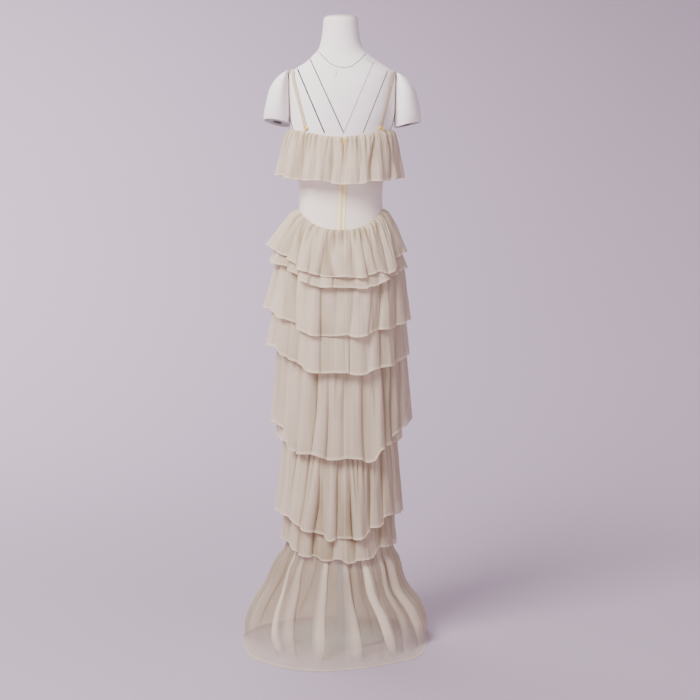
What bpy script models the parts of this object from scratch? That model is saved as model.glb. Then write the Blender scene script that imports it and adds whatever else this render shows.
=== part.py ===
"""Maxi dress of gathered tiers on a limbless dress form.

Metres, +Z up. The back of the dress, with its zip, faces -Y, and the wearer's left is at -X.
Angles run round the body in degrees: 0 at the centre back, 90 at +X, 180 at the centre front.
The dress is drawn about the stand's pole, and the whole is then moved so that its box is centred.
"""

import math
from collections import namedtuple

import bmesh
import bpy
from mathutils import Vector

# Driving dimensions
CLOTH = 0.0012  # thickness of every chiffon wall
SEAM_GAP = 0.0003  # between two pieces that touch
BODY_EASE = 0.0018  # from the form to the inside of what it wears
MESH_WALL = 0.0010  # thickness of the mesh bodice and of the zip's tapes
SQUARE = 0.91  # power of the sine and cosine in a torso's oval: under 1 is squarer than an ellipse
VALLEY = 4.5  # half width of a fold's trough, in degrees
CREST_STEP = 10  # degrees between the points of a broad crest
BODY_STEP = 12  # degrees between the points round the form
SHOULDER_SHIFT = 0.004  # the form's shoulders stand this far to +X of its waist

STRAP_WIDTH = 0.008
STRAP_WALL = 0.0010
STRAP_EASE = 0.0006  # how much further off the form than the bodice a strap lies
STRAP_SHIFT = 0.006  # the pair of straps sits this far to +X of the waist
STRAP_LOW = 0.0925  # from the pair's middle to a strap at the flounce
STRAP_HIGH = 0.1290  # and at the top of the shoulder
STRAP_FOOT = 1.3230
STRAP_STEEP = 1.4460  # up to here a strap climbs the back, and from here it crosses the shoulder
STRAP_TOP = 1.4676
STRAP_CLIMB_STEPS = 6
STRAP_TOP_STEPS = 9
SHOULDER_HEIGHTS = (1.36, 1.53)  # the form's shoulder lies between these
RING_RADIUS = 0.0046
RING_WIRE = 0.0009
RING_EASE = 0.0004
SLIDE_SIZE = (0.0105, 0.0015, 0.0075)
SLIDE_EASE = 0.0004
SLIDE_EDGE = 0.0005

ZIP_TOP_X = 0.009  # the zip leans a little to +X
ZIP_FOOT = 1.0760
ZIP_TOP = 1.2997
TAPE_WIDTH = 0.0092
TAPE_APART = 0.0006
SLIDER_SIZE = (0.0056, 0.0028, 0.0085)
SLIDER_DROP = 0.002  # from the zip's top to the slider's
SLIDER_EASE = 0.0005
SLIDER_EDGE = 0.0006
PULL_SIZE = (0.0040, 0.0010, 0.0140)
PULL_FACE_GAP = 0.0004
PULL_EYE = 0.0005  # from the pull's axis to its top edge
PULL_DROP = 0.0015  # from the slider's top to the pull's axis
PULL_CORNER = 0.0015
SLIT_ANGLES = (-2, 9)  # the flounce's slit lies between these angles, and no fold does
# How far the flounce's back edges stand apart, by the share of the way down
FLOUNCE_SLIT = ((0.0, 0.0094), (0.2, 0.0080), (0.55, 0.0026), (1.0, 0.0020))

BASE_RADIUS = 0.13
BASE_HEIGHT = 0.008
BASE_EDGE = 0.003
POLE_RADIUS = 0.0125
POLE_Y = 0.004
# The neck's cap, as how far each ring is above the neck and inside its edge
NECK_CAP = ((SEAM_GAP, 0.0006), (0.0030, 0.0006), (0.0050, 0.0060), (0.0060, 0.0220))

# The form's torso and neck: half width, depth behind and before its axis, shift to +X
Body = namedtuple("Body", "z half_width back front shift")
BODY = [
    Body(0.756, 0.1376, 0.100, 0.098, 0),
    Body(0.816, 0.1454, 0.112, 0.102, 0),
    Body(0.896, 0.1491, 0.118, 0.105, 0),
    Body(0.955, 0.1469, 0.114, 0.104, 0),
    Body(1.015, 0.1378, 0.102, 0.100, 0),
    Body(1.064, 0.1247, 0.090, 0.096, 0),
    Body(1.114, 0.1073, 0.081, 0.091, 0),
    Body(1.153, 0.1047, 0.079, 0.089, 0),
    Body(1.192, 0.1066, 0.081, 0.092, 0),
    Body(1.241, 0.1148, 0.086, 0.106, 0),
    Body(1.290, 0.1240, 0.092, 0.126, 0),
    Body(1.324, 0.1293, 0.095, 0.132, 0),
    Body(1.358, 0.1346, 0.096, 0.122, SHOULDER_SHIFT),
    Body(1.397, 0.1374, 0.093, 0.106, SHOULDER_SHIFT),
    Body(1.427, 0.1383, 0.087, 0.094, SHOULDER_SHIFT),
    Body(1.451, 0.1380, 0.079, 0.083, SHOULDER_SHIFT),
    Body(1.463, 0.1362, 0.074, 0.078, SHOULDER_SHIFT),
    Body(1.479, 0.1156, 0.067, 0.071, SHOULDER_SHIFT),
    Body(1.493, 0.0935, 0.061, 0.066, SHOULDER_SHIFT),
    Body(1.509, 0.0744, 0.056, 0.062, 0.002),
    Body(1.523, 0.0597, 0.053, 0.059, 0.001),
    Body(1.543, 0.0514, 0.051, 0.056, 0),
    Body(1.572, 0.0464, 0.048, 0.052, 0),
    Body(1.604, 0.0444, 0.046, 0.050, 0),
]

# An arm stub from its cut end up: heights at its inner and outer side, reach and depths
Arm = namedtuple("Arm", "z_inner z_outer reach back front")
ARM_INNER = 0.1389  # from the middle of the shoulders to the flat side that meets the torso
ARM = [
    Arm(1.3332, 1.3458, 0.1966, 0.047, 0.045),
    Arm(1.3565, 1.3624, 0.1960, 0.052, 0.050),
    Arm(1.3925, 1.3925, 0.1905, 0.055, 0.052),
    Arm(1.4217, 1.4217, 0.1825, 0.052, 0.048),
    Arm(1.4420, 1.4420, 0.1706, 0.045, 0.042),
    Arm(1.4556, 1.4556, 0.1569, 0.034, 0.033),
    Arm(1.4629, 1.4624, 0.1451, 0.020, 0.020),
]
ARM_TURN = 15  # degrees between the points round a stub
ARM_SQUARE = 0.8
ARM_PLATE = 0.0020
ARM_PLATE_RIM = 0.0035

# The lining's inner surface where it has left the form, before the same columns as above
LINING_FALL = [
    Body(0.756, 0.1481, 0.116, 0.105, 0),
    Body(0.675, 0.1404, 0.114, 0.105, 0),
    Body(0.575, 0.1302, 0.112, 0.104, 0),
    Body(0.463, 0.1266, 0.111, 0.104, 0),
    Body(0.258, 0.1252, 0.110, 0.104, 0),
]
LINING_ON_FORM = (0.88, 1.30)  # between these heights the lining follows the form
LINING_LEVELS = (0.0, 0.06, 0.13, 0.2, 0.27, 0.43, 0.6, 0.78, 1.0)  # shares of its height

# An edge round the body: its height at the sides, how far it dips at the back and the front, and
# the power of the cosine that it follows, more where the dip is narrow
Edge = namedtuple("Edge", "side dip_back dip_front power", defaults=(2,))
YOKE = Edge(1.1210, 0.0515, 0.034)
BUST_TOP = Edge(1.3224, 0.0190, 0.008, 4)
LINING_HEM = Edge(0.271, 0.005, 0.0)

# A gathered tier: its two edges, its outline at the hem, how deep its folds are there, the power
# of its flare and how far its seam stands off what it is sewn to
Tier = namedtuple("Tier", "name seam hem left right back front fold_depth flare stand_off rows folds")
BUST_FLOUNCE = Tier(
    "bust_flounce", BUST_TOP, Edge(1.202, 0.019, 0.010),
    0.1695, 0.1640, 0.130, 0.168, 0.013, 0.80, 0.0052, len(FLOUNCE_SLIT), "bust",
)
TIERS = [
    Tier("tier_1", YOKE, Edge(1.020, 0.067, 0.040),
         0.1940, 0.1710, 0.160, 0.150, 0.018, 0.80, 0.0064, 4, "yoke"),
    Tier("tier_2", Edge(1.1175, 0.0515, 0.034), Edge(0.975, 0.047, 0.034),
         0.1860, 0.1725, 0.156, 0.146, 0.008, 0.85, 0.0030, 3, "yoke"),
    Tier("tier_3", Edge(1.025, 0.050, 0.030), Edge(0.859, 0.052, 0.034),
         0.2010, 0.1805, 0.160, 0.150, 0.015, 0.68, 0.0056, 4, "upper"),
    Tier("tier_4", Edge(1.013, 0.050, 0.030), Edge(0.770, 0.057, 0.034),
         0.1945, 0.1765, 0.158, 0.146, 0.010, 0.80, 0.0030, 4, "upper"),
    Tier("tier_5", Edge(0.816, 0.0545, 0.030), Edge(0.568, 0.075, 0.040),
         0.1825, 0.1870, 0.152, 0.146, 0.018, 0.76, 0.0052, 4, "middle"),
    Tier("tier_5_under", Edge(0.806, 0.0545, 0.030), Edge(0.531, 0.017, 0.010),
         0.1685, 0.1585, 0.134, 0.128, 0.009, 0.80, 0.0030, 3, "middle"),
    Tier("tier_6", Edge(0.5745, 0.0655, 0.030), Edge(0.344, 0.0595, 0.034),
         0.1745, 0.1625, 0.150, 0.142, 0.016, 0.80, 0.0048, 4, "lower"),
    Tier("tier_7", Edge(0.432, 0.056, 0.030), Edge(0.248, 0.023, 0.014),
         0.1590, 0.1460, 0.138, 0.130, 0.009, 0.80, 0.0030, 3, "low"),
]
FOLD_START = 0.15  # share of its hem depth that a fold has at the seam
FOLD_GROWTH = 0.8  # power by which a fold deepens on the way down
HEM_RIPPLE = 0.003  # how much higher a hem is in a trough

# The folds over the back, a row each: angle at the seam, angle at the hem, depth as a share
Fold = namedtuple("Fold", "seam hem depth")
FOLDS = {
    "bust": [
        Fold(-71, -72, 0.4), Fold(-61, -62, 0.4), Fold(-49, -48, 0.5), Fold(-38, -34, 1.0),
        Fold(-22, -23, 0.4), Fold(-14, -14, 0.3), Fold(-7, -8, 0.6), Fold(18, 15, 0.3),
        Fold(38, 28, 1.0), Fold(48, 41, 0.3), Fold(57, 54, 0.6), Fold(66, 65, 0.4), Fold(76, 77, 0.4),
    ],
    "yoke": [
        Fold(-77, -77, 0.3), Fold(-65, -64, 0.4), Fold(-50, -48, 1.0), Fold(-38, -35, 0.8),
        Fold(-26, -24, 0.5), Fold(-15, -15, 0.4), Fold(-6, -5, 0.7), Fold(8, 12, 0.6),
        Fold(19, 23, 0.6), Fold(30, 34, 0.3), Fold(44, 47, 1.0), Fold(61, 60, 1.0), Fold(76, 76, 0.3),
    ],
    "upper": [
        Fold(-68, -66, 0.6), Fold(-50, -46, 0.6), Fold(-39, -33, 1.0), Fold(-27, -23, 0.2),
        Fold(-15, -14, 0.7), Fold(-4, -4, 0.4), Fold(7, 6, 0.4), Fold(26, 22, 0.3),
        Fold(39, 33, 0.9), Fold(60, 54, 0.6), Fold(77, 75, 0.3),
    ],
    "middle": [
        Fold(-70, -71, 0.3), Fold(-52, -56, 0.5), Fold(-34, -41, 0.5), Fold(-20, -24, 1.0),
        Fold(-10, -11, 0.6), Fold(4, 2, 0.4), Fold(18, 19, 0.5), Fold(37, 38, 1.0),
        Fold(50, 49, 0.7), Fold(63, 60, 0.5), Fold(76, 76, 0.3),
    ],
    "lower": [
        Fold(-70, -72, 0.3), Fold(-52, -50, 0.3), Fold(-31, -37, 0.4), Fold(-20, -24, 1.0),
        Fold(-10, -13, 0.3), Fold(-2, -3, 0.8), Fold(8, 11, 0.9), Fold(29, 28, 0.9),
        Fold(46, 44, 0.8), Fold(60, 60, 0.3), Fold(75, 75, 0.3),
    ],
    "low": [
        Fold(-74, -74, 0.4), Fold(-60, -60, 0.4), Fold(-43, -44, 0.6), Fold(-28, -28, 0.9),
        Fold(-7, -6, 1.0), Fold(15, 14, 1.0), Fold(46, 45, 0.8), Fold(70, 71, 0.4),
    ],
    "train": [
        Fold(-78, -80, 0.3), Fold(-62, -62, 0.4), Fold(-46, -48, 1.0), Fold(-25, -28, 0.5),
        Fold(-7, -8, 0.9), Fold(8, 12, 0.3), Fold(19, 33, 0.6), Fold(31, 46, 0.6),
        Fold(42, 58, 1.0), Fold(66, 74, 0.5),
    ],
}
FRONT_LEAST = 0.4  # folds at least this deep are repeated across the front

# The train flounce down to where it meets the floor: outline and fold depth at each level
Level = namedtuple("Level", "z dip left right back front fold_depth")
TRAIN = [
    Level(0.3405, 0.032, 0.1330, 0.1330, 0.1180, 0.1140, 0.003),
    Level(0.2510, 0.026, 0.1415, 0.1335, 0.1250, 0.1200, 0.006),
    Level(0.2070, 0.014, 0.1710, 0.1530, 0.1500, 0.1300, 0.018),
    Level(0.1450, 0.006, 0.2005, 0.1710, 0.1760, 0.1400, 0.026),
    Level(0.0935, 0.002, 0.2320, 0.2085, 0.1980, 0.1480, 0.026),
    Level(0.0470, 0.000, 0.2500, 0.2265, 0.2220, 0.1560, 0.020),
    Level(0.0145, 0.000, 0.2520, 0.2290, 0.2480, 0.1620, 0.010),
    Level(0.0030, 0.000, 0.2545, 0.2290, 0.2700, 0.1660, 0.003),
]

TRAIN_SEAM_TURN = 0.08  # degrees from a side seam's line to the panel's edge, 0.3 mm apart at the hem
TRAIN_SEAM_CLEAR = 3  # no other points of a panel this near its seams, in degrees

# The hem's outline on the floor, as its reach from the pole's line at each angle
Reach = namedtuple("Reach", "angle reach")
TRAIN_HEM = [
    Reach(-180, 0.172), Reach(-140, 0.207), Reach(-110, 0.243), Reach(-90, 0.259),
    Reach(-65, 0.271), Reach(-45, 0.309), Reach(-24, 0.331), Reach(-9, 0.333),
    Reach(8, 0.310), Reach(30, 0.286), Reach(42, 0.286), Reach(53, 0.263),
    Reach(72, 0.236), Reach(90, 0.233), Reach(111, 0.236), Reach(141, 0.204), Reach(180, 0.172),
]

Finish = namedtuple("Finish", "colour roughness metallic")
CHIFFON = Finish((0.80, 0.74, 0.63), 0.75, 0.0)
SHEER_MESH = Finish((0.84, 0.79, 0.71), 0.70, 0.0)
STRAP_SATIN = Finish((0.74, 0.65, 0.54), 0.50, 0.0)
TAPE_CLOTH = Finish((0.85, 0.77, 0.60), 0.70, 0.0)
GOLD = Finish((0.83, 0.62, 0.25), 0.28, 1.0)
FORM_CLOTH = Finish((0.83, 0.82, 0.81), 0.80, 0.0)
BLACK_PLATE = Finish((0.02, 0.02, 0.022), 0.60, 0.0)
STAND_METAL = Finish((0.55, 0.57, 0.60), 0.35, 1.0)


def clear_scene():
    for thing in list(bpy.data.objects):
        bpy.data.objects.remove(thing, do_unlink=True)


def material(name, finish):
    made = bpy.data.materials.new(name)
    made.use_nodes = True
    shader = made.node_tree.nodes["Principled BSDF"]
    shader.inputs["Base Color"].default_value = (*finish.colour, 1)
    shader.inputs["Roughness"].default_value = finish.roughness
    shader.inputs["Metallic"].default_value = finish.metallic
    return made


def add_object(name, shape, finish, origin=(0, 0, 0)):
    """A bmesh as an object whose own origin is at origin."""
    bmesh.ops.translate(shape, verts=shape.verts, vec=-Vector(origin))
    bmesh.ops.recalc_face_normals(shape, faces=shape.faces)
    mesh = bpy.data.meshes.new(name)
    shape.to_mesh(mesh)
    shape.free()
    mesh.shade_smooth()
    mesh.set_sharp_from_angle(angle=math.radians(50))
    mesh.materials.append(material(name, finish))
    made = bpy.data.objects.new(name, mesh)
    made.location = origin
    bpy.context.collection.objects.link(made)
    return made


# Sections


def between_rows(rows, key, at):
    """The rows' columns at key = at, on a smooth curve through them."""
    rows = sorted(rows, key=lambda row: getattr(row, key))
    keys = [getattr(row, key) for row in rows]
    at = min(max(at, keys[0]), keys[-1])
    i = max(1, next(i for i, k in enumerate(keys) if k >= at))
    span = keys[i] - keys[i - 1]
    share = (at - keys[i - 1]) / span

    def slope(j, column):
        low, high = max(j - 1, 0), min(j + 1, len(rows) - 1)
        return (rows[high][column] - rows[low][column]) / (keys[high] - keys[low])

    values = []
    for column in range(len(rows[0])):
        start, end = rows[i - 1][column], rows[i][column]
        leave, reach = slope(i - 1, column) * span, slope(i, column) * span
        rise = 3 * share**2 - 2 * share**3
        pull_start = share * (1 - share) ** 2
        pull_end = share**2 * (1 - share)
        values.append(start + (end - start) * rise + leave * pull_start - reach * pull_end)
    return type(rows[0])(*values)


def powered(value, power):
    return math.copysign(abs(value) ** power, value)


def on_oval(angle, left, right, back, front, square=1.0):
    """The point at an angle on an oval whose four reaches may all differ."""
    turn = math.radians(angle)
    across, along = powered(math.sin(turn), square), -powered(math.cos(turn), square)
    return Vector((across * (right if across > 0 else left), along * (front if along > 0 else back), 0))


def edge_height(edge, angle):
    along = math.cos(math.radians(angle))
    return edge.side - (edge.dip_back if along > 0 else edge.dip_front) * abs(along) ** edge.power


def section_point(rows, angle, z, out=0.0):
    row = between_rows(rows, "z", z)
    width, back, front = row.half_width + out, row.back + out, row.front + out
    point = on_oval(angle, width, width, back, front, SQUARE)
    return point + Vector((row.shift, 0, z))


def lining_rows():
    """The form's rows, let out by the ease, and below them the lining's own."""
    low, high = LINING_ON_FORM
    worn = [row for row in BODY if low < row.z < high]
    eased = [
        Body(row.z, row.half_width + BODY_EASE, row.back + BODY_EASE, row.front + BODY_EASE, 0)
        for row in worn
    ]
    return LINING_FALL + eased


# Walls


def grid_normals(grid, closed):
    """Outward normals at the points of a grid of rows, from the top down."""
    rows, columns = len(grid), len(grid[0])
    normals = []
    for i in range(rows):
        line = []
        for j in range(columns):
            down = grid[min(i + 1, rows - 1)][j] - grid[max(i - 1, 0)][j]
            if closed:
                along = grid[i][(j + 1) % columns] - grid[i][j - 1]
            else:
                along = grid[i][min(j + 1, columns - 1)] - grid[i][max(j - 1, 0)]
            line.append(down.cross(along).normalized())
        normals.append(line)
    return normals


def wall(grid, thickness, closed, normals=None):
    """A solid wall whose outer face is the grid: rows from the top down, points by rising angle."""
    normals = normals or grid_normals(grid, closed)
    shape = bmesh.new()
    outer = [[shape.verts.new(point) for point in row] for row in grid]
    inner = [
        [shape.verts.new(point - normal * thickness) for point, normal in zip(row, line)]
        for row, line in zip(grid, normals)
    ]
    columns = len(grid[0])
    steps = [(j, (j + 1) % columns) for j in range(columns if closed else columns - 1)]
    for upper, lower in zip(outer, outer[1:]):
        for j, k in steps:
            shape.faces.new((upper[j], lower[j], lower[k], upper[k]))
    for upper, lower in zip(inner, inner[1:]):
        for j, k in steps:
            shape.faces.new((upper[k], lower[k], lower[j], upper[j]))
    for j, k in steps:
        shape.faces.new((inner[0][j], outer[0][j], outer[0][k], inner[0][k]))
        shape.faces.new((outer[-1][j], inner[-1][j], inner[-1][k], outer[-1][k]))
    if not closed:
        for i in range(len(grid) - 1):
            shape.faces.new((inner[i][0], inner[i + 1][0], outer[i + 1][0], outer[i][0]))
            shape.faces.new((outer[i][-1], outer[i + 1][-1], inner[i + 1][-1], inner[i][-1]))
    bmesh.ops.triangulate(shape, faces=shape.faces)
    return shape


def stack(rings):
    """A solid through closed rings of equal counts, from the bottom up."""
    shape = bmesh.new()
    made = [[shape.verts.new(point) for point in ring] for ring in rings]
    for lower, upper in zip(made, made[1:]):
        for j in range(len(lower)):
            k = (j + 1) % len(lower)
            shape.faces.new((lower[j], lower[k], upper[k], upper[j]))
    shape.faces.new(reversed(made[0]))
    shape.faces.new(made[-1])
    return shape


def box(size, centre):
    shape = bmesh.new()
    bmesh.ops.create_cube(shape, size=1)
    bmesh.ops.scale(shape, verts=shape.verts, vec=size)
    bmesh.ops.translate(shape, verts=shape.verts, vec=centre)
    return shape


# Folds

Column = namedtuple("Column", "seam hem trough")


def all_round(folds):
    """The back's folds, and the deeper ones turned half round for the front."""
    front = [
        Fold((fold.seam + 180) % 360, (fold.hem + 180) % 360, fold.depth)
        for fold in folds
        if fold.depth >= FRONT_LEAST
    ]
    back = [Fold(fold.seam % 360, fold.hem % 360, fold.depth) for fold in folds]
    return sorted(back + front, key=lambda fold: fold.seam)


def columns_of(folds):
    """Angles at seam and hem, and the share of the fold depth, for each column of points."""
    folds = all_round(folds)
    columns = []
    for fold, after in zip(folds, folds[1:] + folds[:1]):
        gap = (after.seam - fold.seam) % 360
        hem_gap = (after.hem - fold.hem) % 360
        count = max(2, round(gap / CREST_STEP))
        width = min(VALLEY, gap / 3)
        columns.append(Column(fold.seam, fold.hem, fold.depth))
        for j in range(count):
            share = (j + 1) / (count + 1)
            near = math.exp(-((share * gap / width) ** 2)) * fold.depth
            far = math.exp(-(((1 - share) * gap / width) ** 2)) * after.depth
            columns.append(
                Column(fold.seam + share * gap, fold.hem + share * hem_gap, max(near, far))
            )
    return columns


def tier_point(tier, column, share, support):
    """A point of a tier's outer face, share of the way from its seam to its hem."""
    angle = column.seam + (column.hem - column.seam) * share
    top = edge_height(tier.seam, angle)
    hem = edge_height(tier.hem, angle) + HEM_RIPPLE * column.trough
    sewn = section_point(support, angle, top, tier.stand_off + CLOTH)
    flare = share**tier.flare
    depth = tier.fold_depth * (FOLD_START + (1 - FOLD_START) * share**FOLD_GROWTH) * column.trough
    hung = on_oval(angle, tier.left, tier.right, tier.back, tier.front, SQUARE)
    flat = Vector((sewn.x, sewn.y, 0)).lerp(hung, flare)
    flat -= flat.normalized() * depth
    return Vector((flat.x, flat.y, top + (hem - top) * share))


def add_tier(tier, support):
    columns = columns_of(FOLDS[tier.folds])
    shares = [i / (tier.rows - 1) for i in range(tier.rows)]
    grid = [[tier_point(tier, column, share, support) for column in columns] for share in shares]
    return add_object(tier.name, wall(grid, CLOTH, closed=True), CHIFFON)


def add_bust_flounce(tier):
    """The flounce is open at the centre back, where the zip's pull hangs."""
    columns = columns_of(FOLDS[tier.folds])
    left, right = SLIT_ANGLES
    inside = [column for column in columns if right < column.seam % 360 < 360 + left]
    inside.sort(key=lambda column: column.seam % 360)
    grid = []
    for share, slit in FLOUNCE_SLIT:
        edges = [slit_point(tier, share, side * slit / 2) for side in (1, -1)]
        between = [tier_point(tier, column, share, BODY) for column in inside]
        grid.append([edges[0]] + between + [edges[1]])
    return add_object(tier.name, wall(grid, CLOTH, closed=False), CHIFFON)


def slit_point(tier, share, off):
    """The flounce's point that lies off to one side of the zip's line."""
    low, high = -20.0, 20.0
    for _ in range(30):
        angle = (low + high) / 2
        point = tier_point(tier, Column(angle, angle, 0.0), share, BODY)
        if point.x < zip_x(point.z) + off:
            low = angle
        else:
            high = angle
    return point


def train_point(column, i):
    """A point of the train flounce's outer face at one of its levels, or on its hem after the last."""
    if i == len(TRAIN):
        angle = (column.hem + 180) % 360 - 180
        reach = between_rows(TRAIN_HEM, "angle", angle).reach
        turn = math.radians(angle)
        return Vector((reach * math.sin(turn), -reach * math.cos(turn), CLOTH))
    level = TRAIN[i]
    angle = column.seam + (column.hem - column.seam) * i / (len(TRAIN) - 1)
    square = SQUARE + (1 - SQUARE) * min(1, i / 2)
    point = on_oval(angle, level.left, level.right, level.back, level.front, square)
    point -= point.normalized() * level.fold_depth * column.trough
    point.z = level.z - level.dip * math.cos(math.radians(angle)) ** 2
    return point


def add_train():
    """The train flounce, in a back and a front panel, hangs from under the last tier to the floor."""
    columns = columns_of(FOLDS["train"])
    for name, start in (("back", -90), ("front", 90)):
        inside = [
            column
            for column in columns
            if TRAIN_SEAM_CLEAR < (column.seam - start) % 360 < 180 - TRAIN_SEAM_CLEAR
        ]
        inside.sort(key=lambda column: (column.seam - start) % 360)
        first = Column(start + TRAIN_SEAM_TURN, start + TRAIN_SEAM_TURN, 0.0)
        last = Column(start + 180 - TRAIN_SEAM_TURN, start + 180 - TRAIN_SEAM_TURN, 0.0)
        panel = [first] + inside + [last]
        grid = [[train_point(column, i) for column in panel] for i in range(len(TRAIN) + 1)]
        shape = wall(grid, CLOTH, closed=False)
        for vert in shape.verts:
            vert.co.z = max(vert.co.z, 0.0)
        add_object(f"train_{name}", shape, CHIFFON)


# The dress form and its stand


def add_torso():
    rings = [
        [section_point(BODY, angle, row.z) for angle in range(0, 360, BODY_STEP)]
        for row in BODY
    ]
    return add_object("form_torso", stack(rings), FORM_CLOTH)


def arm_ring(row, side, inset=0.0, drop=0.0):
    """A D-shaped section of an arm stub, flat where it meets the torso."""
    ring = []
    reach = row.reach - ARM_INNER - 2 * inset
    for turn in range(-90, 91, ARM_TURN):
        across = reach * math.cos(math.radians(turn)) ** ARM_SQUARE
        along = math.sin(math.radians(turn))
        along *= (row.back if along < 0 else row.front) - inset
        share = (across + inset) / (row.reach - ARM_INNER)
        height = row.z_inner + (row.z_outer - row.z_inner) * share - drop
        x = SHOULDER_SHIFT + side * (ARM_INNER + inset + across)
        ring.append(Vector((x, along, height)))
    return ring if side > 0 else ring[::-1]


def add_arm(name, side):
    rings = [arm_ring(row, side) for row in ARM]
    add_object(f"form_arm_{name}", stack(rings), FORM_CLOTH)
    top = arm_ring(ARM[0], side, ARM_PLATE_RIM, SEAM_GAP)
    bottom = arm_ring(ARM[0], side, ARM_PLATE_RIM, SEAM_GAP + ARM_PLATE)
    add_object(f"arm_plate_{name}", stack([bottom, top]), BLACK_PLATE)


def add_neck_cap():
    top = BODY[-1]
    rings = [
        [
            section_point(BODY, angle, top.z, -inset) + Vector((0, 0, rise))
            for angle in range(0, 360, BODY_STEP)
        ]
        for rise, inset in NECK_CAP
    ]
    add_object("neck_cap", stack(rings), FORM_CLOTH)


def turned(profile, centre, sides=32):
    """A turned solid from (radius, height) pairs, bottom up."""
    rings = []
    for radius, height in profile:
        turns = [2 * math.pi * j / sides for j in range(sides)]
        ring = [Vector((radius * math.cos(t), radius * math.sin(t), height)) + centre for t in turns]
        rings.append(ring)
    return stack(rings)


def add_stand():
    foot = Vector((0, POLE_Y, 0))
    base = (
        (BASE_RADIUS, 0),
        (BASE_RADIUS, BASE_HEIGHT - BASE_EDGE),
        (BASE_RADIUS - BASE_EDGE, BASE_HEIGHT),
    )
    add_object("stand_base", turned(base, foot), STAND_METAL)
    pole = ((POLE_RADIUS, BASE_HEIGHT + SEAM_GAP), (POLE_RADIUS, BODY[0].z - SEAM_GAP))
    add_object("stand_pole", turned(pole, foot, 20), STAND_METAL)


# The bodice, its zip and its straps


def zip_x(z):
    return ZIP_TOP_X * (z - ZIP_FOOT) / (ZIP_TOP - ZIP_FOOT)


def angle_at(x, z):
    """The angle at which the form's back is at x."""
    share = x / between_rows(BODY, "z", z).half_width
    return math.degrees(math.asin(powered(share, 1 / SQUARE)))


def worn_grid(angles_at, levels=6):
    """A grid on the form between the flounce's top and the yoke seam; angles_at(z) gives a row."""
    back_top, back_foot = edge_height(BUST_TOP, 0), edge_height(YOKE, 0)
    grid = []
    for i in range(levels):
        share = i / (levels - 1)
        row = []
        for angle in angles_at(back_top + (back_foot - back_top) * share):
            top = edge_height(BUST_TOP, angle) - SEAM_GAP
            foot = edge_height(YOKE, angle) + SEAM_GAP
            z = top + (foot - top) * share
            row.append(section_point(BODY, angle, z, BODY_EASE + MESH_WALL))
        grid.append(row)
    return grid


def add_bodice():
    waist = min(row.half_width for row in BODY if row.z < ZIP_TOP)
    seam = math.degrees(SEAM_GAP / waist)
    turns = range(BODY_STEP, 90, BODY_STEP)
    across = [turn for turn in range(0, 360, BODY_STEP) if 90 < turn < 270]
    front = [90 + seam] + across + [270 - seam]
    add_object("bodice_front", wall(worn_grid(lambda z: front), MESH_WALL, False), SHEER_MESH)
    half = TAPE_WIDTH + TAPE_APART / 2 + SEAM_GAP
    for name, side in (("left", -1), ("right", 1)):

        def angles(z, side=side):
            near = angle_at(zip_x(z) + side * half, z)
            return sorted([near] + [side * turn for turn in turns] + [side * (90 - seam)])

        add_object(f"bodice_back_{name}", wall(worn_grid(angles), MESH_WALL, False), SHEER_MESH)


def add_zip():
    for name, side in (("left", -1), ("right", 1)):

        def angles(z, side=side):
            edges = (TAPE_APART / 2, TAPE_WIDTH / 2, TAPE_WIDTH + TAPE_APART / 2)
            return sorted(angle_at(zip_x(z) + side * edge, z) for edge in edges)

        add_object(f"zip_tape_{name}", wall(worn_grid(angles), MESH_WALL, False), TAPE_CLOTH)
    width, depth, height = SLIDER_SIZE
    tape_face = BODY_EASE + MESH_WALL + SEAM_GAP
    slider_z = ZIP_TOP - height / 2 - SLIDER_DROP
    back = section_point(BODY, 0, slider_z + height / 2, tape_face).y
    middle = Vector((zip_x(ZIP_TOP), back - depth / 2 - SLIDER_EASE, slider_z))
    slider = box(SLIDER_SIZE, middle)
    bmesh.ops.bevel(slider, geom=slider.edges, offset=SLIDER_EDGE, segments=2, affect="EDGES")
    add_object("zip_slider", slider, GOLD)
    width, thick, length = PULL_SIZE
    axis = middle + Vector((0, -depth / 2 - PULL_FACE_GAP - thick / 2, height / 2 - PULL_DROP))
    pull = box(PULL_SIZE, axis - Vector((0, 0, length / 2 - PULL_EYE)))
    upright = [edge for edge in pull.edges if abs(edge.verts[0].co.x - edge.verts[1].co.x) < 1e-6]
    corners = [edge for edge in upright if abs(edge.verts[0].co.z - edge.verts[1].co.z) < 1e-6]
    bmesh.ops.bevel(pull, geom=corners, offset=PULL_CORNER, segments=3, affect="EDGES")
    add_object("zip_pull", pull, GOLD, origin=axis)


def form_field(point):
    """Under 1 inside the form's upper body, 1 on it."""
    row = between_rows(BODY, "z", point.z)
    depth = row.front if point.y > 0 else row.back
    across = abs((point.x - row.shift) / row.half_width) ** (2 / SQUARE)
    return across + abs(point.y / depth) ** (2 / SQUARE)


def form_normal(point):
    step = 0.0005
    slopes = []
    for axis in range(3):
        nudge = Vector((0, 0, 0))
        nudge[axis] = step
        slopes.append(form_field(point + nudge) - form_field(point - nudge))
    return Vector(slopes).normalized()


def form_depth(x, z, side):
    """The form's y at a place on its back, side -1, or its front."""
    row = between_rows(BODY, "z", z)
    share = 1 - abs((x - row.shift) / row.half_width) ** (2 / SQUARE)
    return side * (row.front if side > 0 else row.back) * max(share, 0) ** (SQUARE / 2)


def form_height(x, y):
    """The height of the form's shoulder over a place."""
    low, high = SHOULDER_HEIGHTS
    for _ in range(30):
        middle = (low + high) / 2
        if form_field(Vector((x, y, middle))) < 1:
            low = middle
        else:
            high = middle
    return low


def strap_x(side, z):
    """A strap leans out as it climbs."""
    climbed = (z - STRAP_FOOT) / (STRAP_TOP - STRAP_FOOT)
    return STRAP_SHIFT + side * (STRAP_LOW + (STRAP_HIGH - STRAP_LOW) * climbed)


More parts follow.
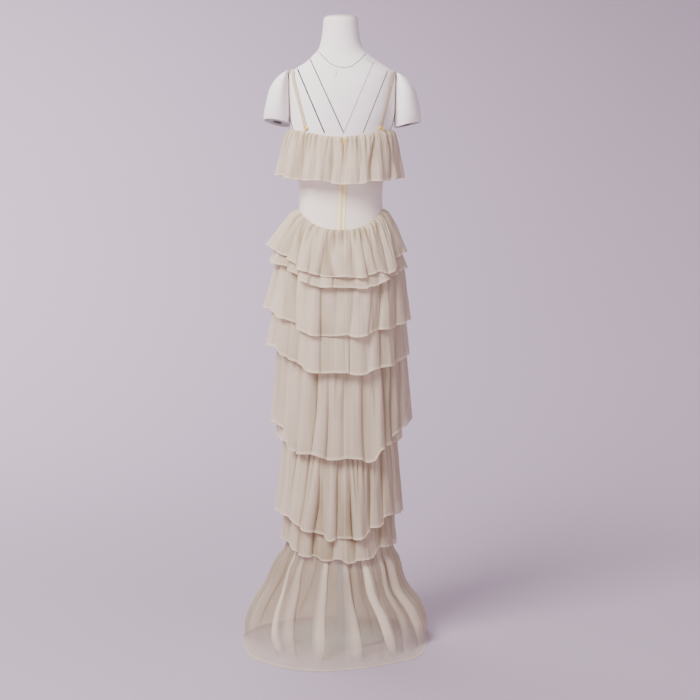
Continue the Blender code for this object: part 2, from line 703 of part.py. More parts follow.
def strap_path(side):
    """Points on the form along a strap, from the back of the flounce over to its front."""
    steps = STRAP_CLIMB_STEPS
    climb = [STRAP_FOOT + i * (STRAP_STEEP - STRAP_FOOT) / steps for i in range(steps + 1)]
    back = [Vector((strap_x(side, z), form_depth(strap_x(side, z), z, -1), z)) for z in climb]
    front = [Vector((strap_x(side, z), form_depth(strap_x(side, z), z, 1), z)) for z in climb]
    over = []
    for i in range(1, STRAP_TOP_STEPS):
        y = back[-1].y + (front[-1].y - back[-1].y) * i / STRAP_TOP_STEPS
        z = STRAP_TOP
        for _ in range(4):
            z = form_height(strap_x(side, z), y)
        over.append(Vector((strap_x(side, z), y, z)))
    return back + over + front[::-1]


def strip(path, width, clearance, thickness):
    """A flat band along a path on the form."""
    grid = []
    normals = []
    for i, point in enumerate(path):
        along = (path[min(i + 1, len(path) - 1)] - path[max(i - 1, 0)]).normalized()
        normal = form_normal(point)
        across = along.cross(normal).normalized() * width / 2
        centre = point + normal * (clearance + thickness)
        grid.append([centre - across, centre + across])
        normals.append([normal, normal])
    return wall(grid, thickness, False, normals)


def torus(centre, normal, radius, wire, sides=16, round_sides=6):
    shape = bmesh.new()
    turn = Vector((0, 0, 1)).rotation_difference(normal)
    rings = []
    for j in range(sides):
        a = 2 * math.pi * j / sides
        ring = []
        for k in range(round_sides):
            b = 2 * math.pi * k / round_sides
            reach = radius + wire * math.cos(b)
            local = Vector((reach * math.cos(a), reach * math.sin(a), wire * math.sin(b)))
            ring.append(shape.verts.new(centre + turn @ local))
        rings.append(ring)
    for j in range(sides):
        for k in range(round_sides):
            m = (k + 1) % round_sides
            after = rings[(j + 1) % sides]
            shape.faces.new((rings[j][k], after[k], after[m], rings[j][m]))
    return shape


def add_straps():
    for name, side in (("left", -1), ("right", 1)):
        path = strap_path(side)
        ring_at = len(path) // 2 - 1
        centre = path[ring_at]
        normal = form_normal(centre)
        ring_lift = normal * (BODY_EASE + RING_WIRE + RING_EASE)
        ring = torus(centre + ring_lift, normal, RING_RADIUS, RING_WIRE)
        add_object(f"strap_ring_{name}", ring, GOLD)
        clear = RING_RADIUS + RING_WIRE + 2 * SEAM_GAP
        behind = [p for i, p in enumerate(path) if i < ring_at and (p - centre).length > clear]
        before = [p for i, p in enumerate(path) if i > ring_at and (p - centre).length > clear]
        ease = BODY_EASE + STRAP_EASE
        back = strip(behind, STRAP_WIDTH, ease, STRAP_WALL)
        add_object(f"strap_back_{name}", back, STRAP_SATIN)
        front = strip(before, STRAP_WIDTH, ease, STRAP_WALL)
        add_object(f"strap_front_{name}", front, STRAP_SATIN)
        foot = path[0].lerp(path[1], 0.4)
        out = form_normal(foot)
        slide = box(SLIDE_SIZE, (0, 0, 0))
        bmesh.ops.bevel(slide, geom=slide.edges, offset=SLIDE_EDGE, segments=1, affect="EDGES")
        turn = Vector((0, -1, 0)).rotation_difference(out)
        bmesh.ops.rotate(slide, verts=slide.verts, matrix=turn.to_matrix())
        lift = out * (ease + STRAP_WALL + SLIDE_SIZE[1] / 2 + SEAM_GAP + SLIDE_EASE)
        bmesh.ops.translate(slide, verts=slide.verts, vec=foot + lift)
        add_object(f"strap_slide_{name}", slide, GOLD)


def add_lining():
    rows = lining_rows()
    grid = []
    for share in LINING_LEVELS:
        row = []
        for angle in range(0, 360, BODY_STEP):
            top = edge_height(YOKE, angle) - SEAM_GAP
            z = top + (edge_height(LINING_HEM, angle) - top) * share
            row.append(section_point(rows, angle, z, CLOTH))
        grid.append(row)
    return add_object("skirt_lining", wall(grid, CLOTH, closed=True), CHIFFON)


def centre_on_origin():
    """Moves everything so that the middle of its box stands over the origin."""
    bpy.context.view_layer.update()
    corners = [
        thing.matrix_world @ vert.co for thing in bpy.data.objects for vert in thing.data.vertices
    ]
    middle = [(min(c[k] for c in corners) + max(c[k] for c in corners)) / 2 for k in range(2)]
    for thing in bpy.data.objects:
        thing.location -= Vector((*middle, 0))


def main():
    clear_scene()
    add_torso()
    for name, side in (("left", -1), ("right", 1)):
        add_arm(name, side)
    add_neck_cap()
    add_stand()
    add_bodice()
    add_zip()
    add_straps()
    add_lining()
    support = lining_rows()
    add_bust_flounce(BUST_FLOUNCE)
    for tier in TIERS:
        add_tier(tier, support)
    add_train()
    centre_on_origin()


main()
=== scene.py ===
"""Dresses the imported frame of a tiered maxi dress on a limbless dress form.

Metres, +Z up. The back of the dress, with its zip, faces -Y, and the wearer's left is at -X.
Angles run round the body in degrees: 0 at the centre back, 90 at +X, 180 at the centre front.
Shapes are drawn about the stand's pole, and are moved to where the frame has it.
"""

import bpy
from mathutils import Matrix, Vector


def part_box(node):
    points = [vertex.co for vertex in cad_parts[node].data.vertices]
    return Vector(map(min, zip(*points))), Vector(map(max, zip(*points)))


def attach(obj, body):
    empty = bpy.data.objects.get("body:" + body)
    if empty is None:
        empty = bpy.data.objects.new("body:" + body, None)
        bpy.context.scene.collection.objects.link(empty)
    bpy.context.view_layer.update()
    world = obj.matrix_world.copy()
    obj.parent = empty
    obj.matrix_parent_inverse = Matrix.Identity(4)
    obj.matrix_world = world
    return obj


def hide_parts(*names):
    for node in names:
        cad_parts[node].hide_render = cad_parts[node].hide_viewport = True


bl_info = {
    "name": "Tiered Maxi Dress",
    "version": (1, 0, 0),
    "blender": (4, 5, 0),
    "location": "View3D > Sidebar > Dress",
    "description": "Sews a gathered chiffon dress with a train, and sets it on its dress form",
    "category": "Add Mesh",
}

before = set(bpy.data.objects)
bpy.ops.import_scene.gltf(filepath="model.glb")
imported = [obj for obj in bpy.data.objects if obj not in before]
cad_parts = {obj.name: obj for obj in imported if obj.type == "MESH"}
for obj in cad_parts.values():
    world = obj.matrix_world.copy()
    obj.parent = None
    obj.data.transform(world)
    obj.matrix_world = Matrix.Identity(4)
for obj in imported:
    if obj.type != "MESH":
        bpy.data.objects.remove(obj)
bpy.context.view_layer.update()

import math
from collections import namedtuple

import bmesh
import bpy
import numpy as np
from mathutils import Matrix, Vector

DRESS = "dress_on_form"
SIDES = (("left", -1), ("right", 1))

# Sizes that the frame shares
BODY_EASE = 0.0018  # from the form to the inside of what it wears
SEAM_GAP = 0.0003  # between pieces where they meet
MESH_WALL = 0.0010
CLOTH = 0.0012
SQUARE = 0.91  # power of the sine and cosine in a torso's oval
VALLEY = 4.5  # half width of a fold's trough, in degrees
SHOULDER_SHIFT = 0.004
POLE_Y = 0.004
FOLD_START = 0.15
FOLD_GROWTH = 0.8
FRONT_LEAST = 0.4

STRAP_WIDTH = 0.0092
STRAP_WALL = 0.0010
STRAP_EASE = 0.0006
STRAP_SHIFT = 0.006
STRAP_LOW = 0.0925
STRAP_HIGH = 0.1290
STRAP_FOOT = 1.3230
STRAP_STEEP = 1.4460
STRAP_TOP = 1.4676
SHOULDER_HEIGHTS = (1.36, 1.53)
RING_RADIUS = 0.0046
RING_WIRE = 0.0009
RING_CLEAR = 0.0002  # from a ring to the strap's cut ends
SLIDE_HEIGHT = 1.3244
SLIDE_RADIUS = 0.0050
SLIDE_WIRE = 0.0019
SLIDE_SHAPE = (1.05, 0.72, 1.0, 1.0)  # how the round slide is stretched

ZIP_TOP_X = 0.009
ZIP_FOOT = 1.0760
ZIP_TOP = 1.2997
TAPE_WIDTH = 0.0092
TAPE_APART = 0.0006
COIL_PITCH = 0.0012
COIL_LIFT = 0.0034
COIL_APART = 0.0007  # from the zip's middle to a tooth
COIL_BELOW = 0.024  # from the bodice's top edge to the coil
COIL_ABOVE = 0.002  # from the bodice's foot to the coil
COIL_COLOUR = (0.80, 0.66, 0.36)
# A tooth from end to end: its places across, and the share of its full depth and height there
TOOTH = ((-0.0013, 0.5), (-0.0009, 1.0), (0.0009, 1.0), (0.0013, 0.5))
TOOTH_DEEP = 0.00045
TOOTH_HIGH = 0.0004
TOOTH_SIDES = 6
# How wide the flounce's slit is, by the share of the way down
FLOUNCE_SLIT = ((0.0, 0.0072), (0.2, 0.0060), (0.55, 0.0020), (1.0, 0.0012))

Body = namedtuple("Body", "z half_width back front shift")
BODY = [
    Body(0.756, 0.1376, 0.100, 0.098, 0),
    Body(0.816, 0.1454, 0.112, 0.102, 0),
    Body(0.896, 0.1491, 0.118, 0.105, 0),
    Body(0.955, 0.1469, 0.114, 0.104, 0),
    Body(1.015, 0.1378, 0.102, 0.100, 0),
    Body(1.064, 0.1247, 0.090, 0.096, 0),
    Body(1.114, 0.1073, 0.081, 0.091, 0),
    Body(1.153, 0.1047, 0.079, 0.089, 0),
    Body(1.192, 0.1066, 0.081, 0.092, 0),
    Body(1.241, 0.1148, 0.086, 0.106, 0),
    Body(1.290, 0.1240, 0.092, 0.126, 0),
    Body(1.324, 0.1293, 0.095, 0.132, 0),
    Body(1.358, 0.1346, 0.096, 0.122, SHOULDER_SHIFT),
    Body(1.397, 0.1374, 0.093, 0.106, SHOULDER_SHIFT),
    Body(1.427, 0.1383, 0.087, 0.094, SHOULDER_SHIFT),
    Body(1.451, 0.1380, 0.079, 0.083, SHOULDER_SHIFT),
    Body(1.463, 0.1362, 0.074, 0.078, SHOULDER_SHIFT),
    Body(1.479, 0.1156, 0.067, 0.071, SHOULDER_SHIFT),
    Body(1.493, 0.0935, 0.061, 0.066, SHOULDER_SHIFT),
    Body(1.509, 0.0744, 0.056, 0.062, 0.002),
    Body(1.523, 0.0597, 0.053, 0.059, 0.001),
    Body(1.543, 0.0514, 0.051, 0.056, 0),
    Body(1.572, 0.0464, 0.048, 0.052, 0),
    Body(1.604, 0.0444, 0.046, 0.050, 0),
]

# An arm stub from its cut end up: heights at its inner and outer side, reach and depths
Arm = namedtuple("Arm", "z_inner z_outer reach back front")
ARM_INNER = 0.1389
ARM = [
    Arm(1.3332, 1.3458, 0.1966, 0.047, 0.045),
    Arm(1.3565, 1.3624, 0.1960, 0.052, 0.050),
    Arm(1.3925, 1.3925, 0.1905, 0.055, 0.052),
    Arm(1.4217, 1.4217, 0.1825, 0.052, 0.048),
    Arm(1.4420, 1.4420, 0.1706, 0.045, 0.042),
    Arm(1.4556, 1.4556, 0.1569, 0.034, 0.033),
    Arm(1.4629, 1.4624, 0.1451, 0.020, 0.020),
]
ARM_STEPS = 44
ARM_TOP = ((0.0012, 0.8), (0.0019, 0.5), (0.0022, 0.2))  # how it rounds off: rises and shares of its size
ARM_BEND = 1.3925  # height under which a stub's sections follow its cut
ARM_CLEAR = 0.0006  # from the torso to a stub
ARM_WIDER = 1.08
ARM_CENTRE = 0.40  # where the stub's round section is centred, as a share of its reach
ARM_INSIDE = 0.50  # and how far it goes in from there towards the torso

# The cut's rise towards the back, its lift, and how much higher the stub's top is
ArmCut = namedtuple("ArmCut", "tilt lift taller")
ARM_CUTS = {"left": ArmCut(0.17, 0.002, 1.10), "right": ArmCut(0.045, -0.004, 1.02)}
# Rings at the cut, as shares of the way in from its rim and rises: the cover's edge turned in, the
# plate, and a dark disc in the plate that is painted shade for the socket's hole
ARM_RIM = ((0.08, 0.0060), (0.08, 0.0004), (0.03, -0.0006))
ARM_PLATE = (
    (0.09, 0.0040), (0.09, 0.0010), (0.11, 0.0002), (0.36, 0.0002), (0.38, 0.0010), (0.66, 0.0010),
    (0.70, 0.0030), (0.96, 0.0032),
)
ARM_SOCKET = ((0.67, 0.0026), (0.67, 0.0008), (0.70, 0.0002), (0.96, 0.0004))

# The neck's cap from its middle out: how far each ring is above the neck and inside its edge
NECK_CAP = (
    (0.0064, 0.0360), (0.0063, 0.0270), (0.0060, 0.0190), (0.0054, 0.0130), (0.0044, 0.0086),
    (0.0031, 0.0054), (0.0016, 0.0034), (0.0001, 0.0024),
)
NECK_ROUND = 0.0022  # how far the neck's top edge is rounded in
NECK_ROUND_FROM = 1.592
NECK_ROUND_OVER = 0.012
TORSO_ROWS = 150
ROUND = np.arange(0, 360, 2.5)  # angles of the torso's and the cap's points
NECK_SHADE_FROM = 1.50  # height from which the cover is painted darker towards the top, painted shade
NECK_SHADE_GROWTH = 12.0

LINING_FALL = [
    Body(0.756, 0.1481, 0.116, 0.105, 0),
    Body(0.675, 0.1404, 0.114, 0.105, 0),
    Body(0.575, 0.1302, 0.112, 0.104, 0),
    Body(0.463, 0.1266, 0.111, 0.104, 0),
    Body(0.258, 0.1252, 0.110, 0.104, 0),
]
LINING_ON_FORM = (0.88, 1.30)
LINING_HEM_SHARE = 0.006
LINING_OPACITY = 0.9
MESH_OPACITY = 0.42
BODICE_REACH = 0.0030  # from the form to what lies over the bodice

Edge = namedtuple("Edge", "side dip_back dip_front power", defaults=(2,))
YOKE = Edge(1.1210, 0.0515, 0.034)
BUST_TOP = Edge(1.3224, 0.0190, 0.008, 4)
LINING_HEM = Edge(0.271, 0.005, 0.0)

# A gathered tier: its edges, its outline at the hem, fold depth, flare, stand-off and folds
Tier = namedtuple("Tier", "name seam hem left right back front fold_depth flare stand_off folds")
BUST_FLOUNCE = Tier(
    "bust_flounce", BUST_TOP, Edge(1.202, 0.019, 0.010),
    0.1695, 0.1640, 0.130, 0.168, 0.013, 0.80, 0.0052, "bust",
)
FLOUNCE_HEIGHT = 1.30  # where the form's width is taken for the slit
FLOUNCE_OUT = 0.006  # and how far out the flounce stands there
# From the lowest tier up, as each hangs over the one before it
TIERS = [
    Tier("tier_7", Edge(0.432, 0.056, 0.030), Edge(0.248, 0.023, 0.014),
         0.1590, 0.1460, 0.138, 0.130, 0.009, 0.80, 0.0030, "low"),
    Tier("tier_6", Edge(0.5745, 0.0655, 0.030), Edge(0.344, 0.0595, 0.034),
         0.1745, 0.1625, 0.150, 0.142, 0.016, 0.80, 0.0048, "lower"),
    Tier("tier_5_under", Edge(0.806, 0.0545, 0.030), Edge(0.531, 0.017, 0.010),
         0.1685, 0.1585, 0.134, 0.128, 0.009, 0.80, 0.0030, "middle"),
    Tier("tier_5", Edge(0.816, 0.0545, 0.030), Edge(0.568, 0.075, 0.040),
         0.1825, 0.1870, 0.152, 0.146, 0.018, 0.76, 0.0052, "middle"),
    Tier("tier_4", Edge(1.013, 0.050, 0.030), Edge(0.770, 0.057, 0.034),
         0.1945, 0.1765, 0.158, 0.146, 0.010, 0.80, 0.0030, "upper"),
    Tier("tier_3", Edge(1.025, 0.050, 0.030), Edge(0.859, 0.052, 0.034),
         0.2010, 0.1805, 0.160, 0.150, 0.015, 0.68, 0.0056, "upper"),
    Tier("tier_2", Edge(1.1175, 0.0515, 0.034), Edge(0.975, 0.047, 0.034),
         0.1860, 0.1725, 0.156, 0.146, 0.008, 0.85, 0.0030, "yoke"),
    Tier("tier_1", YOKE, Edge(1.020, 0.067, 0.040),
         0.1940, 0.1710, 0.160, 0.150, 0.018, 0.80, 0.0064, "yoke"),
]

# The folds over the back, a row each: angle at the seam, angle at the hem, depth as a share, and
# the side on which the cloth laps over, 1 for the lower angle, -1 for the higher, 0 for either
Fold = namedtuple("Fold", "seam hem depth side", defaults=(0,))
FOLDS = {
    "bust": [
        Fold(-71, -72, 0.4), Fold(-61, -62, 0.4), Fold(-49, -48, 0.5), Fold(-38, -34, 1.0),
        Fold(-22, -23, 0.4), Fold(-14, -14, 0.3), Fold(-7, -8, 0.6), Fold(18, 15, 0.3),
        Fold(38, 28, 1.0), Fold(48, 41, 0.3), Fold(57, 54, 0.6), Fold(66, 65, 0.4), Fold(76, 77, 0.4),
    ],
    "yoke": [
        Fold(-77, -77, 0.3), Fold(-65, -64, 0.4), Fold(-50, -48, 1.0), Fold(-38, -35, 0.8),
        Fold(-26, -24, 0.5), Fold(-15, -15, 0.4), Fold(-6, -5, 0.7), Fold(8, 12, 0.6),
        Fold(19, 23, 0.6), Fold(30, 34, 0.3), Fold(44, 47, 1.0), Fold(61, 60, 1.0), Fold(76, 76, 0.3),
    ],
    "upper": [
        Fold(-68, -66, 0.6), Fold(-50, -46, 0.6), Fold(-39, -33, 1.0), Fold(-27, -23, 0.2),
        Fold(-15, -14, 0.7), Fold(-4, -4, 0.4), Fold(7, 6, 0.4), Fold(26, 22, 0.3),
        Fold(39, 33, 0.9), Fold(60, 54, 0.6), Fold(77, 75, 0.3),
    ],
    "middle": [
        Fold(-70, -71, 0.3), Fold(-52, -56, 0.5), Fold(-34, -41, 0.5), Fold(-20, -24, 1.0),
        Fold(-10, -11, 0.6), Fold(4, 2, 0.4), Fold(18, 19, 0.5), Fold(37, 38, 1.0),
        Fold(50, 49, 0.7), Fold(63, 60, 0.5), Fold(76, 76, 0.3),
    ],
    "lower": [
        Fold(-70, -72, 0.3), Fold(-52, -50, 0.3), Fold(-31, -37, 0.4), Fold(-20, -24, 1.0),
        Fold(-10, -13, 0.3), Fold(-2, -3, 0.8), Fold(8, 11, 0.9), Fold(29, 28, 0.9),
        Fold(46, 44, 0.8), Fold(60, 60, 0.3), Fold(75, 75, 0.3),
    ],
    "low": [
        Fold(-74, -74, 0.4), Fold(-60, -60, 0.4), Fold(-43, -44, 0.6), Fold(-28, -28, 0.9),
        Fold(-7, -6, 1.0), Fold(15, 14, 1.0), Fold(46, 45, 0.8), Fold(70, 71, 0.4),
    ],
    "train": [
        Fold(-80, -80, 0.3), Fold(-62, -37, 1.0, -1), Fold(-42, -25, 0.5, 1), Fold(-12, -9, 0.9, 1),
        Fold(6, 16, 0.8, 1), Fold(20, 36, 1.0, -1), Fold(42, 45, 0.6, -1), Fold(56, 66, 0.9, -1),
        Fold(72, 82, 0.5, 1),
    ],
}

# How much higher than its smooth edge each hem hangs, in millimetres, by angle over the back
HEM_LIFTS = {
    "bust_flounce": ((-69, 5), (-44, 2), (-29, 6), (-16, 8), (-9, 5), (-1, 1), (15, -1), (24, 4), (33, 3),
                     (50, -1), (70, -2)),
    "tier_1": ((-77, 11), (-61, 8), (-43, 10), (-39, 7), (-29, 0), (-21, 1), (-13, -4), (3, 1), (11, -4),
               (21, -9), (31, -9), (37, -12), (46, -33), (52, -30), (60, -14), (74, -7)),
    "tier_2": ((-67, 15), (-54, 21), (-46, 20), (-35, 9), (-26, 1), (-13, -2), (6, -2), (19, -8), (29, -9),
               (37, -6), (59, -2), (85, -4)),
    "tier_3": ((-79, 11), (-57, 20), (-53, 7), (-42, 13), (-33, 9), (-27, -2), (-19, -6), (-12, -6),
               (3, 1), (11, -5), (20, -6), (29, -2), (39, -7), (49, -14), (72, -21)),
    "tier_4": ((-83, 0), (-59, 18), (-53, 1), (-43, 6), (-37, 2), (-29, 8), (-25, -6), (-13, -5), (3, 1),
               (11, -7), (19, -10), (28, -5), (40, -12), (49, -19), (68, -23)),
    "tier_5": ((-86, 4), (-60, 19), (-53, 14), (-48, -26), (-37, -19), (-27, -5), (-19, 2), (-13, -4),
               (-6, -4), (5, 1), (13, -6), (23, -22), (27, -22), (31, 0), (36, 1), (46, -9), (54, 8)),
    "tier_5_under": ((-70, 3), (-30, -2), (20, 2), (60, -3)),
    "tier_6": ((-75, -2), (-56, 12), (-46, 15), (-42, 11), (-34, 7), (-27, 3), (-21, 8), (-15, 9), (-11, -2),
               (-8, -7), (-4, 3), (4, 0), (12, -2), (22, -3), (27, 15), (38, 5), (48, 21), (74, -4)),
    "tier_7": ((-74, 18), (-55, 25), (-50, 12), (-42, 1), (-31, 3), (-23, 8), (-17, 0), (-11, 0), (-5, 6),
               (0, 9), (3, -2), (7, -5), (13, 2), (24, 2), (34, 0), (40, 21), (55, 15), (78, 5)),
}
# A tier's gathers: how many all round, depth and length as shares, and how far the cloth puffs out
Gathers = namedtuple("Gathers", "count depth length puff")
GATHERS = {
    "bust_flounce": Gathers(62, 1.0, 0.95, 0.0022),
    "tier_1": Gathers(52, 1.2, 0.95, 0.0034),
    "tier_2": Gathers(40, 0.2, 0.6, -0.0010),
    "tier_3": Gathers(36, 0.8, 0.9, 0.0030),
    "tier_4": Gathers(30, 0.3, 0.9, 0.0),
    "tier_5": Gathers(44, 0.9, 1.1, 0.0016),
    "tier_5_under": Gathers(30, 0.2, 0.6, 0.0),
    "tier_6": Gathers(60, 1.0, 1.4, 0.0020),
    "tier_7": Gathers(40, 0.8, 1.5, 0.0),
}
# How much painted shade a tier's cloth gets all over
TIER_SHADE = {"bust_flounce": 0.08, "tier_5": 0.04, "tier_6": 0.10, "tier_7": 0.18}
SEAM_TURN = 3  # angle of the tiers' centre back seams
SEAM_WIDTH = 0.5  # half of a seam's width, in degrees
SEAM_DEPTH = 0.0007
PUFF_SHARE = 0.07  # share of the way down over which the gathers puff out
TIER_CLEAR = 0.0012  # from a tier to what it hangs over
FLOUNCE_CLEAR = 0.0006
FLARE_LATER = 0.14  # how much later the cloth flares than the frame's plain tier
FOLD_DEEPER = 1.2  # how much deeper a fold is than the frame's plain one

# The train flounce down to the floor: outline and fold depth at each level
Level = namedtuple("Level", "step z dip left right back front fold_depth square")
TRAIN = [
    Level(0, 0.3405, 0.032, 0.1330, 0.1330, 0.1180, 0.1140, 0.003, 0.91),
    Level(1, 0.2510, 0.026, 0.1415, 0.1335, 0.1250, 0.1200, 0.006, 0.955),
    Level(2, 0.2070, 0.014, 0.1710, 0.1530, 0.1500, 0.1300, 0.018, 1),
    Level(3, 0.1450, 0.006, 0.2005, 0.1710, 0.1760, 0.1400, 0.026, 1),
    Level(4, 0.0935, 0.002, 0.2320, 0.2085, 0.1980, 0.1480, 0.026, 1),
    Level(5, 0.0470, 0.000, 0.2500, 0.2265, 0.2220, 0.1560, 0.020, 1),
    Level(6, 0.0145, 0.000, 0.2520, 0.2290, 0.2480, 0.1620, 0.010, 1),
    Level(7, 0.0040, 0.000, 0.2545, 0.2290, 0.2700, 0.1660, 0.003, 1),
]
Reach = namedtuple("Reach", "angle reach")
TRAIN_HEM = [
    Reach(-180, 0.172), Reach(-140, 0.207), Reach(-110, 0.243), Reach(-90, 0.259),
    Reach(-65, 0.271), Reach(-45, 0.309), Reach(-24, 0.331), Reach(-9, 0.333),
    Reach(8, 0.310), Reach(30, 0.286), Reach(42, 0.286), Reach(53, 0.263),
    Reach(72, 0.236), Reach(90, 0.233), Reach(111, 0.236), Reach(141, 0.204), Reach(180, 0.172),
]

TRAIN_LAST = (0.2, 0.45, 0.7, 0.85, 0.93, 1.0)  # shares of the way over the floor to the hem
TRAIN_HEM_HEIGHT = 0.0012
TRAIN_LOWEST = 0.0008

Label = namedtuple("Label", "x z width height")
LABEL = Label(0.064, 0.107, 0.016, 0.013)
LABEL_BEHIND = 0.0015  # from the train's front panel to the label
LABEL_COLOUR = (0.98, 0.92, 0.62)

# Style lines on the form's back: points across and up, and the tape's width
StyleLine = namedtuple("StyleLine", "name points width")
STYLE_LINES = [
    StyleLine("neck", ((-0.0558, 1.5181), (-0.0446, 1.5040), (-0.0268, 1.4864), (-0.0092, 1.4771),
                       (0.0094, 1.4748), (0.0284, 1.4787), (0.0460, 1.4922), (0.0631, 1.5124)), 0.0015),
    StyleLine("inner_left", ((-0.0783, 1.5003), (0.0076, 1.3120)), 0.0026),
    StyleLine("inner_right", ((0.0835, 1.4916), (0.0076, 1.3120)), 0.0009),
    StyleLine("outer_left", ((-0.1094, 1.4742), (-0.0402, 1.3118)), 0.0034),
    StyleLine("outer_right", ((0.1186, 1.4698), (0.0555, 1.3120)), 0.0016),
    # The armhole lines are dark tape standing for the shaded gap where the stubs meet the torso: painted
    # shade.
    StyleLine("armhole_left", ((-0.1310, 1.4660), (-0.1338, 1.4371), (-0.1320, 1.3702),
                               (-0.1217, 1.3210)), 0.0050),
    StyleLine("armhole_right", ((0.1390, 1.4600), (0.1410, 1.4371), (0.1400, 1.3702),
                                (0.1300, 1.3277)), 0.0050),
    StyleLine("mark_right", ((0.0637, 1.5007), (0.0788, 1.4881)), 0.0009),
    StyleLine("mark_middle", ((-0.0079, 1.4689), (-0.0141, 1.4486)), 0.0007),
]
LINE_STEPS = 60
LINE_EASE = 0.0001
LINE_WALL = 0.0004
# A band's section, as shares of its width across and of its thickness out
BAND = ((-0.5, 0.0), (-0.5, 0.6), (-0.42, 1.0), (0.42, 1.0), (0.5, 0.6), (0.5, 0.0))

# The base plate's enamel, dark and bluish so that it also stands for the shade under the skirt: partly its
# own colour, partly painted shade.
BASE_AND_SHADE_COLOUR = (0.30, 0.31, 0.36)
AIR_COLOUR = (0.98, 0.95, 0.97)
AIR_STRENGTH = 0.40

# The backdrop's floor runs flat, bends up in a quarter circle and goes on upright
FLOOR_RINGS = (0.5, 1.0, 1.5, 2.0)
BACKDROP_BEND = 5.0
BACKDROP_UPRIGHT = (6.0, 7.0)

# The soft lights: the setting that powers each and its share of it, and its width
Lamp = namedtuple("Lamp", "name place aim setting share size colour")
EVEN = (1.0, 0.98, 1.0)
LAMPS = [
    Lamp("key_light", (-1.6, -2.0, 3.05), (0, 0, 1.2), "key_power", 1.0, 1.6, (1.0, 0.985, 0.965)),
    Lamp("fill_light", (2.8, -2.6, 2.4), (0, 0, 0.9), "fill_power", 1.0, 2.4, (1.0, 0.97, 0.94)),
    Lamp("backdrop_light", (-2.4, 2.6, 3.4), (-2.8, 6, 0.6), "backdrop_power", 0.7, 3.0, EVEN),
    Lamp("floor_light", (-1.2, 3.2, 4.2), (-0.8, 2.6, 0), "backdrop_power", 0.8, 3.5, EVEN),
    Lamp("wall_light_left", (-2.9, 0, 3.4), (-6, 0, 1.2), "backdrop_power", 0.55, 3.0, EVEN),
    Lamp("wall_light_right", (2.9, 0, 3.4), (6, 0, 1.2), "backdrop_power", 0.55, 3.0, EVEN),
    Lamp("wall_light_front", (0, -2.9, 3.4), (0, -6, 1.2), "backdrop_power", 0.55, 3.0, EVEN),
]

low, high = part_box("stand_pole")
AXIS = Vector(((low.x + high.x) / 2, (low.y + high.y) / 2 - POLE_Y, 0))


# Sizes and colours that a user would change


def colour_property(name, description, default):
    return bpy.props.FloatVectorProperty(
        name=name, description=description, default=default, subtype="COLOR", size=3, min=0, max=1
    )


def length_property(name, description, default, least, most):
    return bpy.props.FloatProperty(
        name=name, description=description, default=default, min=least, max=most,
        unit="LENGTH", precision=4,
    )


def share_property(name, description, default):
    return bpy.props.FloatProperty(
        name=name, description=description, default=default, min=0, max=1, subtype="FACTOR"
    )


def power_property(name, description, default):
    return bpy.props.FloatProperty(
        name=name, description=description, default=default, min=0, max=5000, unit="POWER"
    )


class DressCloth(bpy.types.PropertyGroup):
    """Colours and sizes of the dress."""

    chiffon: colour_property("Chiffon", "Colour of the tiers, flounces and train", (0.79, 0.665, 0.53))
    shade: colour_property("Fold shade", "Colour deep in the chiffon's folds", (0.42, 0.325, 0.205))
    mesh: colour_property("Mesh", "Colour of the bodice's sheer mesh", (0.90, 0.80, 0.67))
    satin: colour_property("Strap", "Colour of the straps", (0.54, 0.42, 0.29))
    tape: colour_property("Zip tape", "Colour of the zip's tapes", (0.89, 0.77, 0.47))
    gold: colour_property("Gold", "Colour of the rings, slides and zip slider", (1.0, 0.80, 0.10))
    tier_opacity: share_property(
        "Tier opacity", "How much of a tier's chiffon hides what is behind it", 0.82
    )
    train_opacity: share_property(
        "Train opacity", "How much of the train's single layer hides what is behind it", 0.38
    )
    front_opacity: share_property(
        "Train front opacity", "How much of the train's front panel hides what is behind it", 0.78
    )
    hem_width: length_property("Hem", "Width of a rolled hem", 0.0026, 0.001, 0.02)
    gather_depth: length_property("Gathers", "Depth of the gathers at a tier's seam", 0.0068, 0, 0.01)


class DressForm(bpy.types.PropertyGroup):
    """Colours of the dress form and its stand."""

    cover: colour_property("Cover", "Colour of the form's cloth cover", (0.84, 0.775, 0.78))
    lines: colour_property("Style lines", "Colour of the lines on the form", (0.035, 0.033, 0.036))
    plate: colour_property("End plates", "Colour of the plates at the arms' ends", (0.40, 0.39, 0.40))
    cap: colour_property("Neck cap", "Colour of the cap on the neck", (0.52, 0.43, 0.42))
    metal: colour_property("Stand", "Colour of the pole and base", (0.66, 0.68, 0.72))


class DressStudio(bpy.types.PropertyGroup):
    """Camera, lights and floor."""

    floor: colour_property("Backdrop", "Colour of the floor and backdrop", (0.375, 0.302, 0.375))
    camera_height: length_property("Camera height", "Height of the camera above the floor", 1.193, 0.1, 5)
    camera_distance: length_property("Camera distance", "From the camera to the pole", 4.2, 1, 20)
    camera_across: length_property("Camera across", "How far to the right the camera stands", 0.0234, -2, 2)
    camera_tilt: bpy.props.FloatProperty(
        name="Camera tilt", description="How far down the camera looks", default=0.103602708,
        min=0, max=1.5, subtype="ANGLE",
    )
    camera_lens: bpy.props.FloatProperty(
        name="Lens", description="Focal length", default=83.722, min=10, max=300, unit="CAMERA"
    )
    key_power: power_property("Key light", "Power of the soft light at the left", 278)
    backdrop_power: power_property("Backdrop light", "Power of the lights on the backdrop", 290)
    fill_power: power_property("Fill light", "Power of the soft light at the right", 36)


def cloth_settings():
    return bpy.context.scene.dress_cloth


def form_settings():
    return bpy.context.scene.dress_form


def studio_settings():
    return bpy.context.scene.dress_studio


# Finishes


